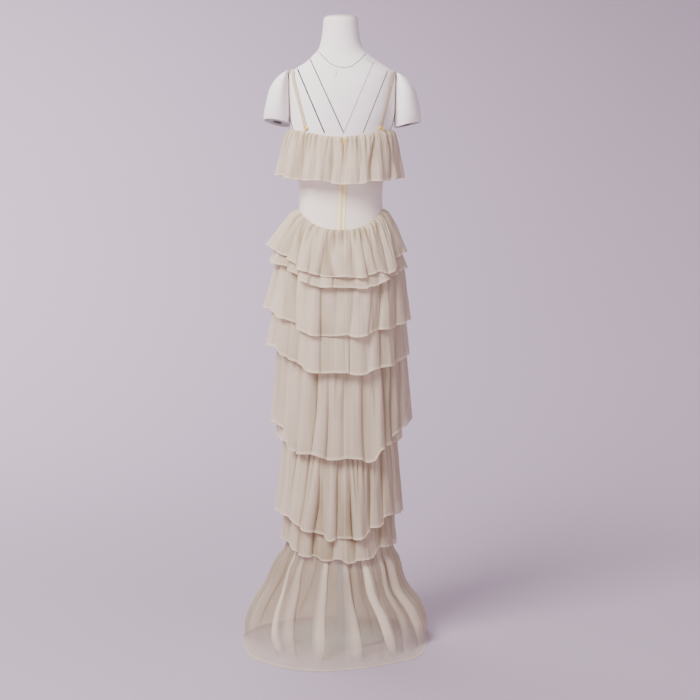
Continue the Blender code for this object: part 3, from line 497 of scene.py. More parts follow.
class Value:
    """A shader socket on which arithmetic adds Math nodes."""

    def __init__(self, finish, socket):
        self.finish = finish
        self.socket = socket

    def math(self, operation, other):
        return self.finish.node("ShaderNodeMath", {"operation": operation}, self, other)

    def __add__(self, other):
        return self.math("ADD", other)

    def __sub__(self, other):
        return self.math("SUBTRACT", other)

    def __mul__(self, other):
        return self.math("MULTIPLY", other)

    def at_most(self, other):
        return self.math("MINIMUM", other)

    def at_least(self, other):
        return self.math("MAXIMUM", other)


class Finish:
    """A material and its nodes."""

    def __init__(self, name):
        self.material = bpy.data.materials.new(name)
        self.material.use_nodes = True
        self.tree = self.material.node_tree
        self.tree.nodes.clear()

    def node(self, kind, settings=None, *values, out=0, **named):
        """A node of any kind: its settings, then what goes into its sockets, by order or by name."""
        made = self.tree.nodes.new(kind)
        for key, value in (settings or {}).items():
            setattr(made, key, value)
        for place, value in enumerate(values):
            self.feed(made.inputs[place], value)
        for key, value in named.items():
            self.feed(made.inputs[key.replace("_", " ")], value)
        return Value(self, made.outputs[out])

    def feed(self, socket, value):
        """Links a value to a socket, or sets a number or a colour on it."""
        if isinstance(value, Value):
            self.tree.links.new(value.socket, socket)
        elif isinstance(value, tuple) and len(value) == 3 and socket.type == "RGBA":
            socket.default_value = (*value, 1)
        else:
            socket.default_value = value

    def blend(self, factor, first, second):
        """A colour between two colours."""
        made = self.tree.nodes.new("ShaderNodeMix")
        made.data_type = "RGBA"
        for place, value in ((0, factor), (6, first), (7, second)):
            self.feed(made.inputs[place], value)
        return Value(self, made.outputs[2])

    def pattern(self, stretch, source="Object"):
        """Places on the piece, or on its own cut cloth, stretched along each axis."""
        places = self.node("ShaderNodeTexCoord", out={"Object": 3, "UV": 2}[source])
        return self.node("ShaderNodeMapping", None, places, Scale=stretch)

    def noise(self, places, scale=1.0, detail=2.0, roughness=0.5):
        return self.node(
            "ShaderNodeTexNoise", None, places, Scale=scale, Detail=detail, Roughness=roughness
        )

    def mark(self, name):
        """A number that the piece's points carry."""
        return self.node("ShaderNodeAttribute", {"attribute_name": name}, out=2)

    def bump(self, height, depth):
        return self.node("ShaderNodeBump", None, Height=height, Distance=depth, Strength=1.0)

    def finish(self, shader):
        end = self.tree.nodes.new("ShaderNodeOutputMaterial")
        self.tree.links.new(shader.socket, end.inputs[0])
        return self.material


def tinted(colour, share):
    return tuple(min(1.0, c * share) for c in colour)


def chiffon(name, opacity, shaded=1.0):
    """Crinkled chiffon: sheer in one layer, denser and paler at its hems, with painted shade, darker and
    warmer, in its folds.
    """
    colours = cloth_settings()
    made = Finish(name)
    cloth = made.pattern((1, 1, 1), "UV")
    crinkle = made.noise(made.pattern((900, 160, 1), "UV"), detail=3.0, roughness=0.6)
    slub = made.noise(made.pattern((60, 14, 1), "UV"), detail=2.0)
    crepe = made.noise(made.pattern((230, 42, 1), "UV"), detail=3.0, roughness=0.6)
    weave_across, weave_down = (
        made.node("ShaderNodeTexWave", {"bands_direction": way}, cloth, out=1, Scale=700.0, Distortion=1.0)
        for way in ("X", "Y")
    )
    hem = made.mark("hem")
    # The "deep" mark is painted shade in the folds and creases. With the random slub, it sets how far the
    # colour goes towards the fold shade.
    deep = made.mark("deep")
    tone = (deep * shaded + (slub - 0.5) * 0.35).at_least(0.0).at_most(1.0)
    colour = made.blend(tone, tuple(colours.chiffon), tuple(colours.shade))
    colour = made.blend(hem * 0.55, colour, tinted(colours.chiffon, 1.06))
    height = crinkle * 0.4 + crepe * 1.3 + (weave_across + weave_down) * 0.08
    normal = made.bump(height, 0.0008)
    cover = ((slub - 0.5) * 0.12 + (hem * (0.95 - opacity) + opacity) + deep * 0.1).at_most(1.0)
    threads = made.node(
        "ShaderNodeBsdfPrincipled", None,
        Base_Color=colour, Roughness=0.85, Sheen_Weight=0.12, Sheen_Roughness=0.5,
        Specular_IOR_Level=0.2, Normal=normal,
    )
    glow = made.node("ShaderNodeBsdfTranslucent", None, Color=colour)
    cloth_shader = made.node("ShaderNodeMixShader", None, 0.30, threads, glow)
    gaps = made.node("ShaderNodeBsdfTransparent")
    return made.finish(made.node("ShaderNodeMixShader", None, cover, gaps, cloth_shader))


def sheer_mesh(name, opacity):
    """A fine even net that lets its ground show."""
    colour = tuple(cloth_settings().mesh)
    made = Finish(name)
    knit = made.noise(made.pattern((1400, 1400, 1), "UV"), detail=1.0)
    drift = made.noise(made.pattern((18, 18, 18)), detail=2.0)
    shader = made.node(
        "ShaderNodeBsdfPrincipled", None,
        Base_Color=made.blend(drift * 0.4, colour, tinted(colour, 0.92)),
        Roughness=0.7, Specular_IOR_Level=0.25, Normal=made.bump(knit, 0.0002),
    )
    cover = (made.mark("hem") * 0.35 + (drift - 0.5) * 0.1 + opacity).at_most(1.0)
    gaps = made.node("ShaderNodeBsdfTransparent")
    return made.finish(made.node("ShaderNodeMixShader", None, cover, gaps, shader))


def woven(name, colour, scale, roughness, depth=0.0002, sheen=0.0):
    """A close matt or satin weave."""
    made = Finish(name)
    places = made.pattern((1, 1, 1))
    grain = made.noise(places, scale=scale, detail=2.0)
    drift = made.noise(places, scale=25.0, detail=2.0)
    tone = made.blend(drift * 0.5 + grain * 0.3, tuple(colour), tinted(colour, 0.86))
    return made.finish(made.node(
        "ShaderNodeBsdfPrincipled", None, Base_Color=tone, Roughness=roughness,
        Sheen_Weight=sheen, Specular_IOR_Level=0.3, Normal=made.bump(grain, depth),
    ))


def metal(name, colour, roughness, metallic=1.0):
    """Metal, duller where it is worn."""
    made = Finish(name)
    wear = made.noise(made.pattern((1, 1, 1)), scale=400.0, detail=2.0)
    return made.finish(made.node(
        "ShaderNodeBsdfPrincipled", None,
        Base_Color=made.blend(wear * 0.4, tuple(colour), tinted(colour, 0.8)),
        Roughness=wear * 0.15 + roughness, Metallic=metallic,
    ))


def form_cover(name):
    """The form's stretched cotton jersey, a little dusty, and painted shade darker towards the neck's top."""
    cover = tuple(form_settings().cover)
    made = Finish(name)
    knit = made.noise(made.pattern((1, 1, 1)), scale=900.0, detail=2.0)
    dust = made.noise(made.pattern((1, 1, 1.6)), scale=9.0, detail=4.0, roughness=0.6)
    dust_and_shade = tuple(c * share for c, share in zip(cover, (0.90, 0.875, 0.865)))
    height = made.node("ShaderNodeSeparateXYZ", None, made.node("ShaderNodeTexCoord", out=3), out=2)
    # Painted shade: the cover darkens towards the neck's top, and shares its darker colour with the dust.
    neck_shade = ((height - NECK_SHADE_FROM) * NECK_SHADE_GROWTH).at_least(0.0).at_most(1.0)
    return made.finish(made.node(
        "ShaderNodeBsdfPrincipled", None,
        Base_Color=made.blend((dust * 0.7 + neck_shade * 0.6).at_most(1.0), cover, dust_and_shade),
        Roughness=0.8, Specular_IOR_Level=0.25, Sheen_Weight=0.05,
        Normal=made.bump(knit, 0.0002),
    ))


# Pieces


def add_piece(name, points, faces, finish, stands_for=(), body=DRESS, uv=None, marks=None):
    """A mesh drawn about the pole, moved to the frame's place and carried by its body."""
    mesh = bpy.data.meshes.new(name)
    placed = np.asarray(points, float).reshape(-1, 3) + np.array(AXIS)
    mesh.from_pydata(placed.tolist(), [], faces if isinstance(faces, list) else faces.tolist())
    mesh.update()
    if uv is not None:
        layer = mesh.uv_layers.new(name="cut")
        layer.data.foreach_set("uv", np.asarray(uv, np.float32).ravel())
    for key, values in (marks or {}).items():
        attribute = mesh.attributes.new(key, "FLOAT", "POINT")
        attribute.data.foreach_set("value", np.asarray(values, np.float32).ravel())
    mesh.shade_smooth()
    mesh.materials.append(finish)
    made = bpy.data.objects.new(name, mesh)
    bpy.context.scene.collection.objects.link(made)
    return ride_on(made, stands_for, body)


def ride_on(made, stands_for=(), body=DRESS):
    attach(made, body)
    if stands_for:
        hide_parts(*stands_for)
    return made


def add_tube(name, grid, finish, stands_for=()):
    """A closed piece from rings of points, with both its ends capped."""
    made = add_piece(name, grid, capped(*grid.shape[:2]), finish, stands_for)
    recalc(made)
    return made


def turn_faces(made, floor_up=False):
    """Turns a shell's faces outwards, or all of them so that its floor faces up."""
    shape = bmesh.new()
    shape.from_mesh(made.data)
    bmesh.ops.recalc_face_normals(shape, faces=shape.faces)
    if floor_up:
        floor = max(shape.faces, key=lambda face: face.calc_area() - abs(face.calc_center_median().z))
        if floor.normal.z < 0:
            bmesh.ops.reverse_faces(shape, faces=shape.faces)
    shape.to_mesh(made.data)
    shape.free()


def recalc(made):
    """Turns a closed shell's faces outwards, and keeps its sharp edges."""
    turn_faces(made)
    made.data.set_sharp_from_angle(angle=math.radians(50))


def quads(rows, columns, closed):
    """Faces of a grid of points: rows from the top down, columns by rising angle."""
    across = columns if closed else columns - 1
    i, j = np.meshgrid(np.arange(rows - 1), np.arange(across), indexing="ij")
    k = (j + 1) % columns
    corners = [i * columns + j, (i + 1) * columns + j, (i + 1) * columns + k, i * columns + k]
    return np.stack(corners, -1).reshape(-1, 4)


def capped(rows, columns, start=0):
    """Faces of a tube of rings, and then of its two ends."""
    last = start + (rows - 1) * columns
    ends = [list(range(start, start + columns)), list(range(last, last + columns))]
    return (quads(rows, columns, True) + start).tolist() + ends


def cut_places(rows, columns, closed, across, down):
    """Places on the cut cloth at the faces' corners: across has a value more where it is closed."""
    count = columns if closed else columns - 1
    i, j = np.meshgrid(np.arange(rows - 1), np.arange(count), indexing="ij")
    corners = [(i, j), (i + 1, j), (i + 1, j + 1), (i, j + 1)]
    return np.stack([np.stack([across[b], down[a]], -1) for a, b in corners], 2).reshape(-1, 2)


def outward(grid, closed):
    """Unit normals at a grid's points."""
    down = np.gradient(grid, axis=0)
    if closed:
        along = np.roll(grid, -1, 1) - np.roll(grid, 1, 1)
    else:
        along = np.gradient(grid, axis=1)
    normal = np.cross(down, along)
    return normal / np.maximum(np.linalg.norm(normal, axis=-1, keepdims=True), 1e-12)


# Sections


def rows_at(rows, key, at):
    """The rows' columns at key = at, on a smooth curve through them."""
    names = rows[0]._fields
    table = np.array(sorted(rows, key=lambda row: getattr(row, key)), float)
    keys = table[:, names.index(key)]
    at = np.clip(np.asarray(at, float), keys[0], keys[-1])
    last = len(keys) - 1
    i = np.clip(np.searchsorted(keys, at), 1, last)
    before, after = np.maximum(np.arange(last + 1) - 1, 0), np.minimum(np.arange(last + 1) + 1, last)
    slopes = (table[after] - table[before]) / (keys[after] - keys[before])[:, None]
    span = (keys[i] - keys[i - 1])[..., None]
    share = (at - keys[i - 1])[..., None] / span
    values = (
        table[i - 1]
        + (table[i] - table[i - 1]) * (3 * share**2 - 2 * share**3)
        + slopes[i - 1] * span * share * (1 - share) ** 2
        - slopes[i] * span * share**2 * (1 - share)
    )
    return {name: values[..., k] for k, name in enumerate(names)}


def powered(value, power):
    return np.sign(value) * np.abs(value) ** power


def oval(angle, left, right, back, front, square=SQUARE):
    """Places across and along at angles on an oval whose four reaches may all differ."""
    turn = np.radians(angle)
    across, along = powered(np.sin(turn), square), -powered(np.cos(turn), square)
    return across * np.where(across > 0, right, left), along * np.where(along > 0, front, back)


def edge_height(edge, angle):
    along = np.cos(np.radians(angle))
    return edge.side - np.where(along > 0, edge.dip_back, edge.dip_front) * np.abs(along) ** edge.power


def section(rows, angle, z, out=0.0):
    row = rows_at(rows, "z", z)
    width = row["half_width"] + out
    x, y = oval(angle, width, width, row["back"] + out, row["front"] + out)
    return np.stack(np.broadcast_arrays(x + row["shift"], y, z), -1)


def lining_rows():
    low, high = LINING_ON_FORM
    worn = [row for row in BODY if low < row.z < high]
    return LINING_FALL + [
        Body(row.z, row.half_width + BODY_EASE, row.back + BODY_EASE, row.front + BODY_EASE, 0)
        for row in worn
    ]


def back_opening(below=0.0, above=0.0):
    """The bodice's top and foot at the centre back, drawn in by this much."""
    return float(edge_height(BUST_TOP, 0)) - below, float(edge_height(YOKE, 0)) + above


def zip_x(z):
    return ZIP_TOP_X * (z - ZIP_FOOT) / (ZIP_TOP - ZIP_FOOT)


def angle_at(x, z):
    """The angle at which the form's back is at x."""
    share = x / rows_at(BODY, "z", z)["half_width"]
    return np.degrees(np.arcsin(powered(share, 1 / SQUARE)))


# Cloth

TURNS = 480
HEIGHT_STEP = 0.005
HEIGHTS = 290
LAY_EASE = 0.002  # how near cloth comes before it is eased out
SEWN_SHARE = 0.06  # share of the way down over which the sewn edge holds the cloth in


class Layers:
    """How far out the cloth laid so far reaches, by angle and height, so that more lies over it."""

    def __init__(self):
        self.reach = np.zeros((HEIGHTS, TURNS))

    def places(self, grid):
        turn = (np.degrees(np.arctan2(grid[..., 0], -grid[..., 1])) % 360) / 360 * TURNS
        return turn, np.clip(grid[..., 2] / HEIGHT_STEP, 0, HEIGHTS - 1.001)

    def lay(self, grid, clear, drops):
        """The grid, pushed out where it would go through what is laid, but for its sewn edge."""
        reach = self.reach
        for axis in (0, 1):
            reach = np.maximum(reach, np.maximum(np.roll(reach, 1, axis), np.roll(reach, -1, axis)))
        turn, height = self.places(grid)
        j, i = np.floor(turn).astype(int), np.floor(height).astype(int)
        a, b = turn - j, height - i
        j0, j1 = j % TURNS, (j + 1) % TURNS
        need = (
            reach[i, j0] * (1 - a) * (1 - b) + reach[i, j1] * a * (1 - b)
            + reach[i + 1, j0] * (1 - a) * b + reach[i + 1, j1] * a * b
        ) + clear
        out = np.hypot(grid[..., 0], grid[..., 1])
        short = need - out
        near = np.where(short > -LAY_EASE, (short + LAY_EASE) ** 2 / (4 * LAY_EASE), 0)
        eased = np.where(short > LAY_EASE, short, near)
        eased = eased * (np.clip(drops / SEWN_SHARE, 0, 1) ** 0.7)[:, None]
        grid = grid.copy()
        grid[..., :2] *= ((out + eased) / out)[..., None]
        self.add(grid)
        return grid

    def add(self, grid):
        turn, height = self.places(grid)
        out = np.hypot(grid[..., 0], grid[..., 1])
        np.maximum.at(self.reach, (np.round(height).astype(int), np.round(turn).astype(int) % TURNS), out)


LAYERS = Layers()


def all_round(folds):
    """The back's folds, and the deeper ones turned half round for the front."""
    front = [
        Fold((fold.seam + 180) % 360, (fold.hem + 180) % 360, fold.depth, fold.side)
        for fold in folds
        if fold.depth >= FRONT_LEAST
    ]
    back = [Fold(fold.seam % 360, fold.hem % 360, fold.depth, fold.side) for fold in folds]
    return sorted(back + front, key=lambda fold: fold.seam)


def apart(first, second):
    return (first - second + 180) % 360 - 180


def hem_turn(folds, angle):
    """How far each column of cloth has drifted round by its hem."""
    seams = np.array([fold.seam for fold in folds])
    drifts = np.array([apart(fold.hem, fold.seam) for fold in folds])
    seams = np.concatenate([seams - 360, seams, seams + 360])
    return np.interp(np.asarray(angle) % 360, seams, np.tile(drifts, 3))


def folded(folds, draw, angle, drop, tuck=1.5, narrow=0.34, band=2.3):
    """How deep the folds are at each angle and drop, how far they pull the cloth round, and where
    it doubles over.

    A fold is steep on one side, where the cloth laps over it, and eases out on the other.
    """
    depth = np.zeros(np.broadcast(angle, drop).shape)
    pull = np.zeros_like(depth)
    double = np.zeros_like(depth)
    for k, fold in enumerate(folds):
        gap = min(
            abs(apart(folds[k - 1].seam, fold.seam)), abs(apart(folds[(k + 1) % len(folds)].seam, fold.seam))
        )
        width = min(VALLEY * 1.3, gap / 2.2) * (narrow + (1.2 - narrow) * drop)
        side = fold.side or (1 if draw.random() < 0.5 else -1)
        sway = draw.uniform(-2.2, 2.2)
        swell = 1 + 0.25 * np.sin(draw.uniform(3, 6) * drop + draw.uniform(0, 6))
        lap = fold.depth * tuck * draw.uniform(0.75, 1.1)
        off = apart(angle, fold.seam + sway * np.sin(np.pi * drop)) / width
        past = off * side
        steep, gentle = np.maximum(-past, 0) / 0.6, np.maximum(past, 0) / 1.35
        depth = depth + fold.depth * swell * np.exp(-(steep**1.6)) * np.exp(-(gentle**1.35))
        grip = off * np.clip(1 - off**2, 0, 1) ** 2
        pull = pull - width * lap * grip
        over = np.clip((past + band) / 0.5 / band, 0, 1) * np.clip((-0.3 - past) / 0.25, 0, 1)
        double = np.maximum(double, fold.depth * over)
    return depth, pull, double


def gathered(draw, angle, drop, count, depth, length):
    """Gathers that start sharp at the seam and die out down the cloth, each at its own length."""
    step = 360 / count
    total = np.zeros(np.broadcast(angle, drop).shape)
    for k in range(count):
        place = (k + draw.uniform(-0.42, 0.42)) * step
        deep = depth * draw.uniform(0.35, 1.0)
        long = length * draw.uniform(0.3, 1.0)
        wide = step * draw.uniform(0.15, 0.30)
        drift = draw.uniform(-1, 1) * step * 0.8
        side = draw.uniform(0.6, 1.6)
        down = np.clip(1 - drop / long, 0, 1)
        reach = np.nonzero(np.max(np.broadcast_to(down, total.shape), axis=1) > 0)[0][-1] + 1
        off = apart(angle if np.shape(angle)[0] == 1 else angle[:reach], place + drift * drop[:reach])
        off = np.where(off > 0, off * side, off / side)
        spread = wide * (0.75 + 1.5 * drop[:reach] / long)
        crease = np.exp(-((np.sqrt(off**2 + 0.05) / spread) ** 1.4))
        total[:reach] = np.maximum(total[:reach], deep * crease * down[:reach] ** 0.8)
    return total


def rippled(draw, angle, drop, waves, depth, slant=1.5):
    """Low uneven waves, so that no stretch of cloth is flat."""
    total = np.zeros(np.broadcast(angle, drop).shape)
    for count in waves:
        lean, start = draw.uniform(-slant, slant), draw.uniform(0, 2 * np.pi)
        total += depth * np.sin(np.radians(angle) * count + start + lean * drop) / len(waves) ** 0.5
    return total


# A rolled hem outside and inside: shares of its width up from the edge, and how far it stands out
HEM_OUT = ((1.0, 0.0), (0.9, 0.00025), (0.55, 0.00045), (0.15, 0.00030), (0.0, -0.0001))
HEM_IN = ((0.0, -0.0009), (0.5, -0.0012), (1.0, -0.0010))


def drops_of(count, hem_share):
    """Shares of the way down: closer at the seam and at the hem."""
    t = np.linspace(0, 1, count)
    body = (0.35 * t**2 + 0.65 * t) * (1 - hem_share)
    return np.concatenate([body, [1 - hem_share * share for share, _ in HEM_OUT[1:]]])


def turned_hem(grid, closed, hem_share, drops):
    """Rolls the hem: a low bulge outside and the cloth turned up inside."""
    normal = outward(grid, closed)
    out = grid.copy()
    count = len(HEM_OUT) - 1
    for k, (_, lift) in enumerate(HEM_OUT[1:]):
        out[-count + k] += normal[-count + k] * lift
    inner = []
    for share, lift in HEM_IN:
        row = int(np.argmin(np.abs(drops - (1 - hem_share * share))))
        inner.append(grid[row] + normal[row] * lift)
    inner = np.array(inner)
    hem = np.concatenate([np.zeros(len(grid) - count - 1), [0.6], np.ones(count), np.ones(len(inner))])
    return np.concatenate([out, inner]), hem


def add_cloth(
    name, grid, closed, finish, cut, hem, deep, stands_for,
    drops=None, seam=None,
):
    """A sheet of cloth: what it is cut from and the frame parts it stands for, how much its points are hem or
    seam, and their painted shade.
    """
    rows, columns = grid.shape[:2]
    across = np.linspace(0, cut[0], columns + 1 if closed else columns)
    if drops is None:
        drops = np.linspace(0, 1, rows)
    down = -cut[1] * np.concatenate([drops, np.full(rows - len(drops), drops[-1])])
    full = np.zeros((rows, columns))
    full[: deep.shape[0]] = deep
    double = np.repeat(hem[:, None], columns, 1)
    if seam is not None:
        double[: seam.shape[0]] = np.maximum(double[: seam.shape[0]], seam)
    # The "deep" mark carries the painted shade in the folds.
    made = add_piece(
        name, grid, quads(rows, columns, closed), finish, stands_for,
        uv=cut_places(rows, columns, closed, across, down),
        marks={"hem": double, "deep": full},
    )
    return made


def hem_lift(name, angle):
    """How much higher than its smooth edge a tier's hem hangs, with the back's mirrored at the front."""
    rows = np.array(HEM_LIFTS[name], float)
    places = np.concatenate([rows[:, 0], (180 - rows[:, 0])[::-1], rows[:, 0] + 360])
    lifts = np.concatenate([rows[:, 1], rows[::-1, 1] * 0.8, rows[:, 1]]) * 0.001
    spread = np.linspace(-1.6, 1.6, 7)
    weights = np.exp(-np.linspace(-1.5, 1.5, 7) ** 2)
    turned = (np.asarray(angle) + 90) % 360 - 90
    total = sum(w * np.interp(turned + d, places, lifts) for w, d in zip(weights, spread))
    return total / weights.sum()


def tier_grid(tier, support, draw, turn, drop, gather_depth):
    """The points of a tier, and its marks; turn is the angle at the seam."""
    folds = all_round(FOLDS[tier.folds])
    angle = turn + hem_turn(folds, turn) * drop
    trough, pull, double = folded(folds, draw, turn, drop)
    top = edge_height(tier.seam, angle)
    hem = edge_height(tier.hem, angle)
    gathers = GATHERS[tier.name]
    small = gathered(draw, turn, drop, gathers.count, gather_depth * gathers.depth, gathers.length)
    fine = gathered(draw, turn, drop, 150, gather_depth * gathers.depth * 0.5, 0.22)
    wave = rippled(draw, angle, drop, (7, 11, 17, 26), 0.0014) * np.sqrt(drop)
    wave += rippled(draw, angle, drop * 3, (63, 81, 104), 0.0003)
    wave += rippled(draw, angle, drop, (13, 19, 27, 38), 0.0009, 11) * np.sqrt(drop)
    puff = np.clip(drop / PUFF_SHARE, 0, 1) ** 0.75
    stand = CLOTH + (tier.stand_off + CLOTH + gathers.puff) * puff
    sewn = section(support, angle, top, 0.0)
    reach = np.hypot(sewn[..., 0], sewn[..., 1])
    sewn = sewn[..., :2] * ((reach + stand) / reach)[..., None]
    strength = np.minimum(1, drop * 3)
    hung_x, hung_y = oval(angle + pull * strength, tier.left, tier.right, tier.back, tier.front)
    flare = (drop ** (tier.flare + FLARE_LATER))[..., None]
    flat = sewn * (1 - flare) + np.stack([hung_x, hung_y], -1) * flare
    deepening = FOLD_START + 0.1 + (0.9 - FOLD_START) * drop**FOLD_GROWTH
    depth = FOLD_DEEPER * tier.fold_depth * deepening * trough
    crest = 0.0018 * np.sin(np.pi * np.clip(drop * 1.6, 0, 1)) + 0.0022 * double * drop
    seam = np.exp(-(apart(angle, SEAM_TURN) / SEAM_WIDTH) ** 2)
    creases = np.maximum(depth, (small + fine) * puff)
    depth = creases + 0.35 * np.minimum(depth, (small + fine) * puff) - wave - crest + seam * SEAM_DEPTH
    out = np.hypot(flat[..., 0], flat[..., 1])
    flat = flat * ((out - depth) / out)[..., None]
    lift = 0.002 * trough * drop + rippled(draw, angle, drop, (9, 14, 23), 0.0008) * drop
    lift = lift + hem_lift(tier.name, angle) * drop**1.5
    z = top + (hem - top) * drop + lift
    grid = np.concatenate([flat, np.broadcast_to(z[..., None], flat.shape[:2] + (1,))], -1)
    # Painted shade: the fold troughs and the gathers' creases are marked darker, and each tier adds its own
    # share.
    crease = np.clip((small + fine) / max(gather_depth, 1e-6), 0, 2)
    shade = trough * (0.35 + 0.65 * drop**0.5) * 0.8 + 1.6 * crease**1.4
    shade = shade + TIER_SHADE.get(tier.name, 0)
    return grid, np.clip(shade, 0, 1), np.clip(seam * 0.8, 0, 1) + 0.2 * double


def cloth_size(grid, closed):
    """The cut width and length that a flared grid comes from, and the cut's area."""
    ring = np.concatenate([grid, grid[:, :1]], 1) if closed else grid
    widths = np.linalg.norm(np.diff(ring, axis=1), axis=-1).sum(1)
    steps = np.median(np.linalg.norm(np.diff(grid, axis=0), axis=-1), axis=1)
    area = float((steps * (widths[1:] + widths[:-1]) / 2).sum())
    wide, long = round(float(widths.max()), 3), round(float(steps.sum()), 3)
    return wide, long, min(area, wide * long)


def hem_part(tier):
    """A rolled hem's width as a share of its tier's length."""
    return cloth_settings().hem_width / (tier.seam.side - tier.hem.side)


def hang(tier, cloth, drops, clear, closed, finish):
    """Lays a tier's cloth over what hangs so far, rolls its hem and adds it."""
    grid, shade, seam = cloth
    grid = LAYERS.lay(grid, clear, drops)
    cut = cloth_size(grid, closed)
    grid, hem = turned_hem(grid, closed, hem_part(tier), drops)
    add_cloth(
        f"{tier.name}_chiffon", grid, closed, finish, cut, hem, shade,
        [tier.name], drops, seam=seam,
    )


# Operators


class DRESS_OT_form(bpy.types.Operator):
    """Covers the form: torso, arm stubs, neck cap, end plates and style lines"""

    bl_idname = "dress.form"
    bl_label = "Dress form"

    def execute(self, context):
        cover = form_cover("form_cover_cloth")
        heights = np.linspace(BODY[-1].z, BODY[0].z, TORSO_ROWS)
        rounded = NECK_ROUND * np.clip((heights - NECK_ROUND_FROM) / NECK_ROUND_OVER, 0, 1) ** 2
        grid = section(BODY, ROUND[None, :], heights[:, None], -rounded[:, None])
        add_tube("form_torso_cover", grid, cover, ["form_torso"])
        self.arms(cover)
        self.cap()
        self.lines()
        return {"FINISHED"}

    def arms(self, cover):
        """The stubs are round, meet the torso along the armhole, and end in a tilted cut."""
        enamel = woven("arm_plate_enamel", form_settings().plate, 900.0, 0.5)
        hole_shade = woven("arm_socket_rubber", form_settings().lines, 900.0, 0.6)
        for name, side in SIDES:
            rings = np.array([arm_ring(row, side, ARM_CUTS[name]) for row in arm_rows(ARM_STEPS)])
            rim = rings[0]
            stub = np.concatenate([drawn_in(rim, ARM_RIM), rings])
            add_tube(f"form_arm_{name}_cover", stub, cover, [f"form_arm_{name}"])
            plate = drawn_in(rim, ARM_PLATE)
            add_tube(f"arm_end_{name}", plate, enamel, [f"arm_plate_{name}"])
            # A dark disc standing for the socket's hole: painted shade.
            add_tube(f"arm_socket_{name}", drawn_in(rim, ARM_SOCKET), hole_shade)

    def cap(self):
        """The worn cap on the neck, low and rounded."""
        heights = np.full(ROUND.shape, BODY[-1].z)
        grid = np.array([
            section(BODY, ROUND, heights, -inset) + np.array((0, 0, rise)) for rise, inset in NECK_CAP
        ])
        worn = woven("neck_cap_leather", form_settings().cap, 300.0, 0.6)
        add_tube("form_neck_cap", grid, worn, ["neck_cap"])

    def lines(self):
        """The narrow tapes that mark the form's back."""
        tape = woven("style_line_tape", form_settings().lines, 1500.0, 0.7)
        for line in STYLE_LINES:
            places = np.array(line.points)
            steps = np.concatenate([[0], np.cumsum(np.hypot(*np.diff(places, axis=0).T))])
            at = np.linspace(0, steps[-1], LINE_STEPS)
            x, z = np.interp(at, steps, places[:, 0]), np.interp(at, steps, places[:, 1])
            path = [on_form(a, b) for a, b in zip(x, z)]
            add_band(f"form_line_{line.name}", path, line.width, LINE_EASE, LINE_WALL, tape)


def drawn_in(rim, rings):
    """Rings drawn in from a rim, each by a share of the way to its middle, and raised."""
    middle = rim.mean(0)
    return np.array([rim + (middle - rim) * share + np.array((0, 0, lift)) for share, lift in rings])


def arm_rows(count):
    """A stub's rows from its cut up to where it rounds off under the shoulder."""
    named = namedtuple("ArmStep", "step z_inner z_outer reach back front")
    table = [named(i, *row) for i, row in enumerate(ARM)]
    row = rows_at(table, "step", np.linspace(0, len(ARM) - 1, count))
    rows = [Arm(*(float(row[key][i]) for key in Arm._fields)) for i in range(count)]
    top = rows[-1]
    for rise, share in ARM_TOP:
        reach = ARM_INNER + (top.reach - ARM_INNER) * share
        rows.append(Arm(top.z_inner + rise, top.z_outer + rise, reach, top.back * share, top.front * share))
    return rows


def arm_ring(row, side, cut):
    """A round section of a stub, clipped where it meets the torso."""
    turn = np.radians(np.arange(0, 360, 4.0))
    reach = (row.reach - ARM_INNER) * ARM_WIDER
    across, along = np.cos(turn), np.sin(turn)
    inside = ARM_INSIDE * reach
    outside = (1 - ARM_CENTRE) * reach
    x = ARM_INNER + ARM_CENTRE * reach + across * np.where(across > 0, outside, inside)
    y = powered(along, 0.9) * np.where(along < 0, row.back, row.front)
    share = np.clip((x - ARM_INNER) / reach, 0, 1)
    z = row.z_inner + (row.z_outer - row.z_inner) * share
    sunk = np.clip((ARM_BEND - z) / (ARM_BEND - ARM[0].z_inner), 0, 1)
    z = z + sunk * (cut.lift - cut.tilt * y) + np.maximum(z - ARM_BEND, 0) * (cut.taller - 1)
    torso = rows_at(BODY, "z", z)
    depth = np.where(y > 0, torso["front"], torso["back"])
    edge = torso["half_width"] * np.clip(1 - np.abs(y / depth) ** (2 / SQUARE), 0, 1) ** (SQUARE / 2)
    x = np.maximum(x, edge + ARM_CLEAR)
    return np.stack([SHOULDER_SHIFT + side * x, y, z], -1)


def form_depth(x, z, side):
    """The form's y at a place on its back, side -1, or its front."""
    row = rows_at(BODY, "z", z)
    share = 1 - abs((x - row["shift"]) / row["half_width"]) ** (2 / SQUARE)
    return float(side * (row["front"] if side > 0 else row["back"]) * max(share, 0) ** (SQUARE / 2))


def on_form(x, z, side=-1):
    """A place on the form's back, or with side 1 on its front."""
    return Vector((x, form_depth(x, z, side), z))


def form_field(point):
    """Under 1 inside the form's upper body, 1 on it."""
    row = rows_at(BODY, "z", point[2])
    depth = row["front"] if point[1] > 0 else row["back"]
    across = abs((point[0] - row["shift"]) / row["half_width"]) ** (2 / SQUARE)
    return float(across + abs(point[1] / depth) ** (2 / SQUARE))


def form_normal(point):
    step = 0.0005
    slopes = []
    for axis in range(3):
        nudge = Vector((0, 0, 0))
        nudge[axis] = step
        slopes.append(form_field(point + nudge) - form_field(point - nudge))
    return Vector(slopes).normalized()


def form_height(x, y):
    low, high = SHOULDER_HEIGHTS
    for _ in range(26):
        middle = (low + high) / 2
        if form_field((x, y, middle)) < 1:
            low = middle
        else:
            high = middle
    return low


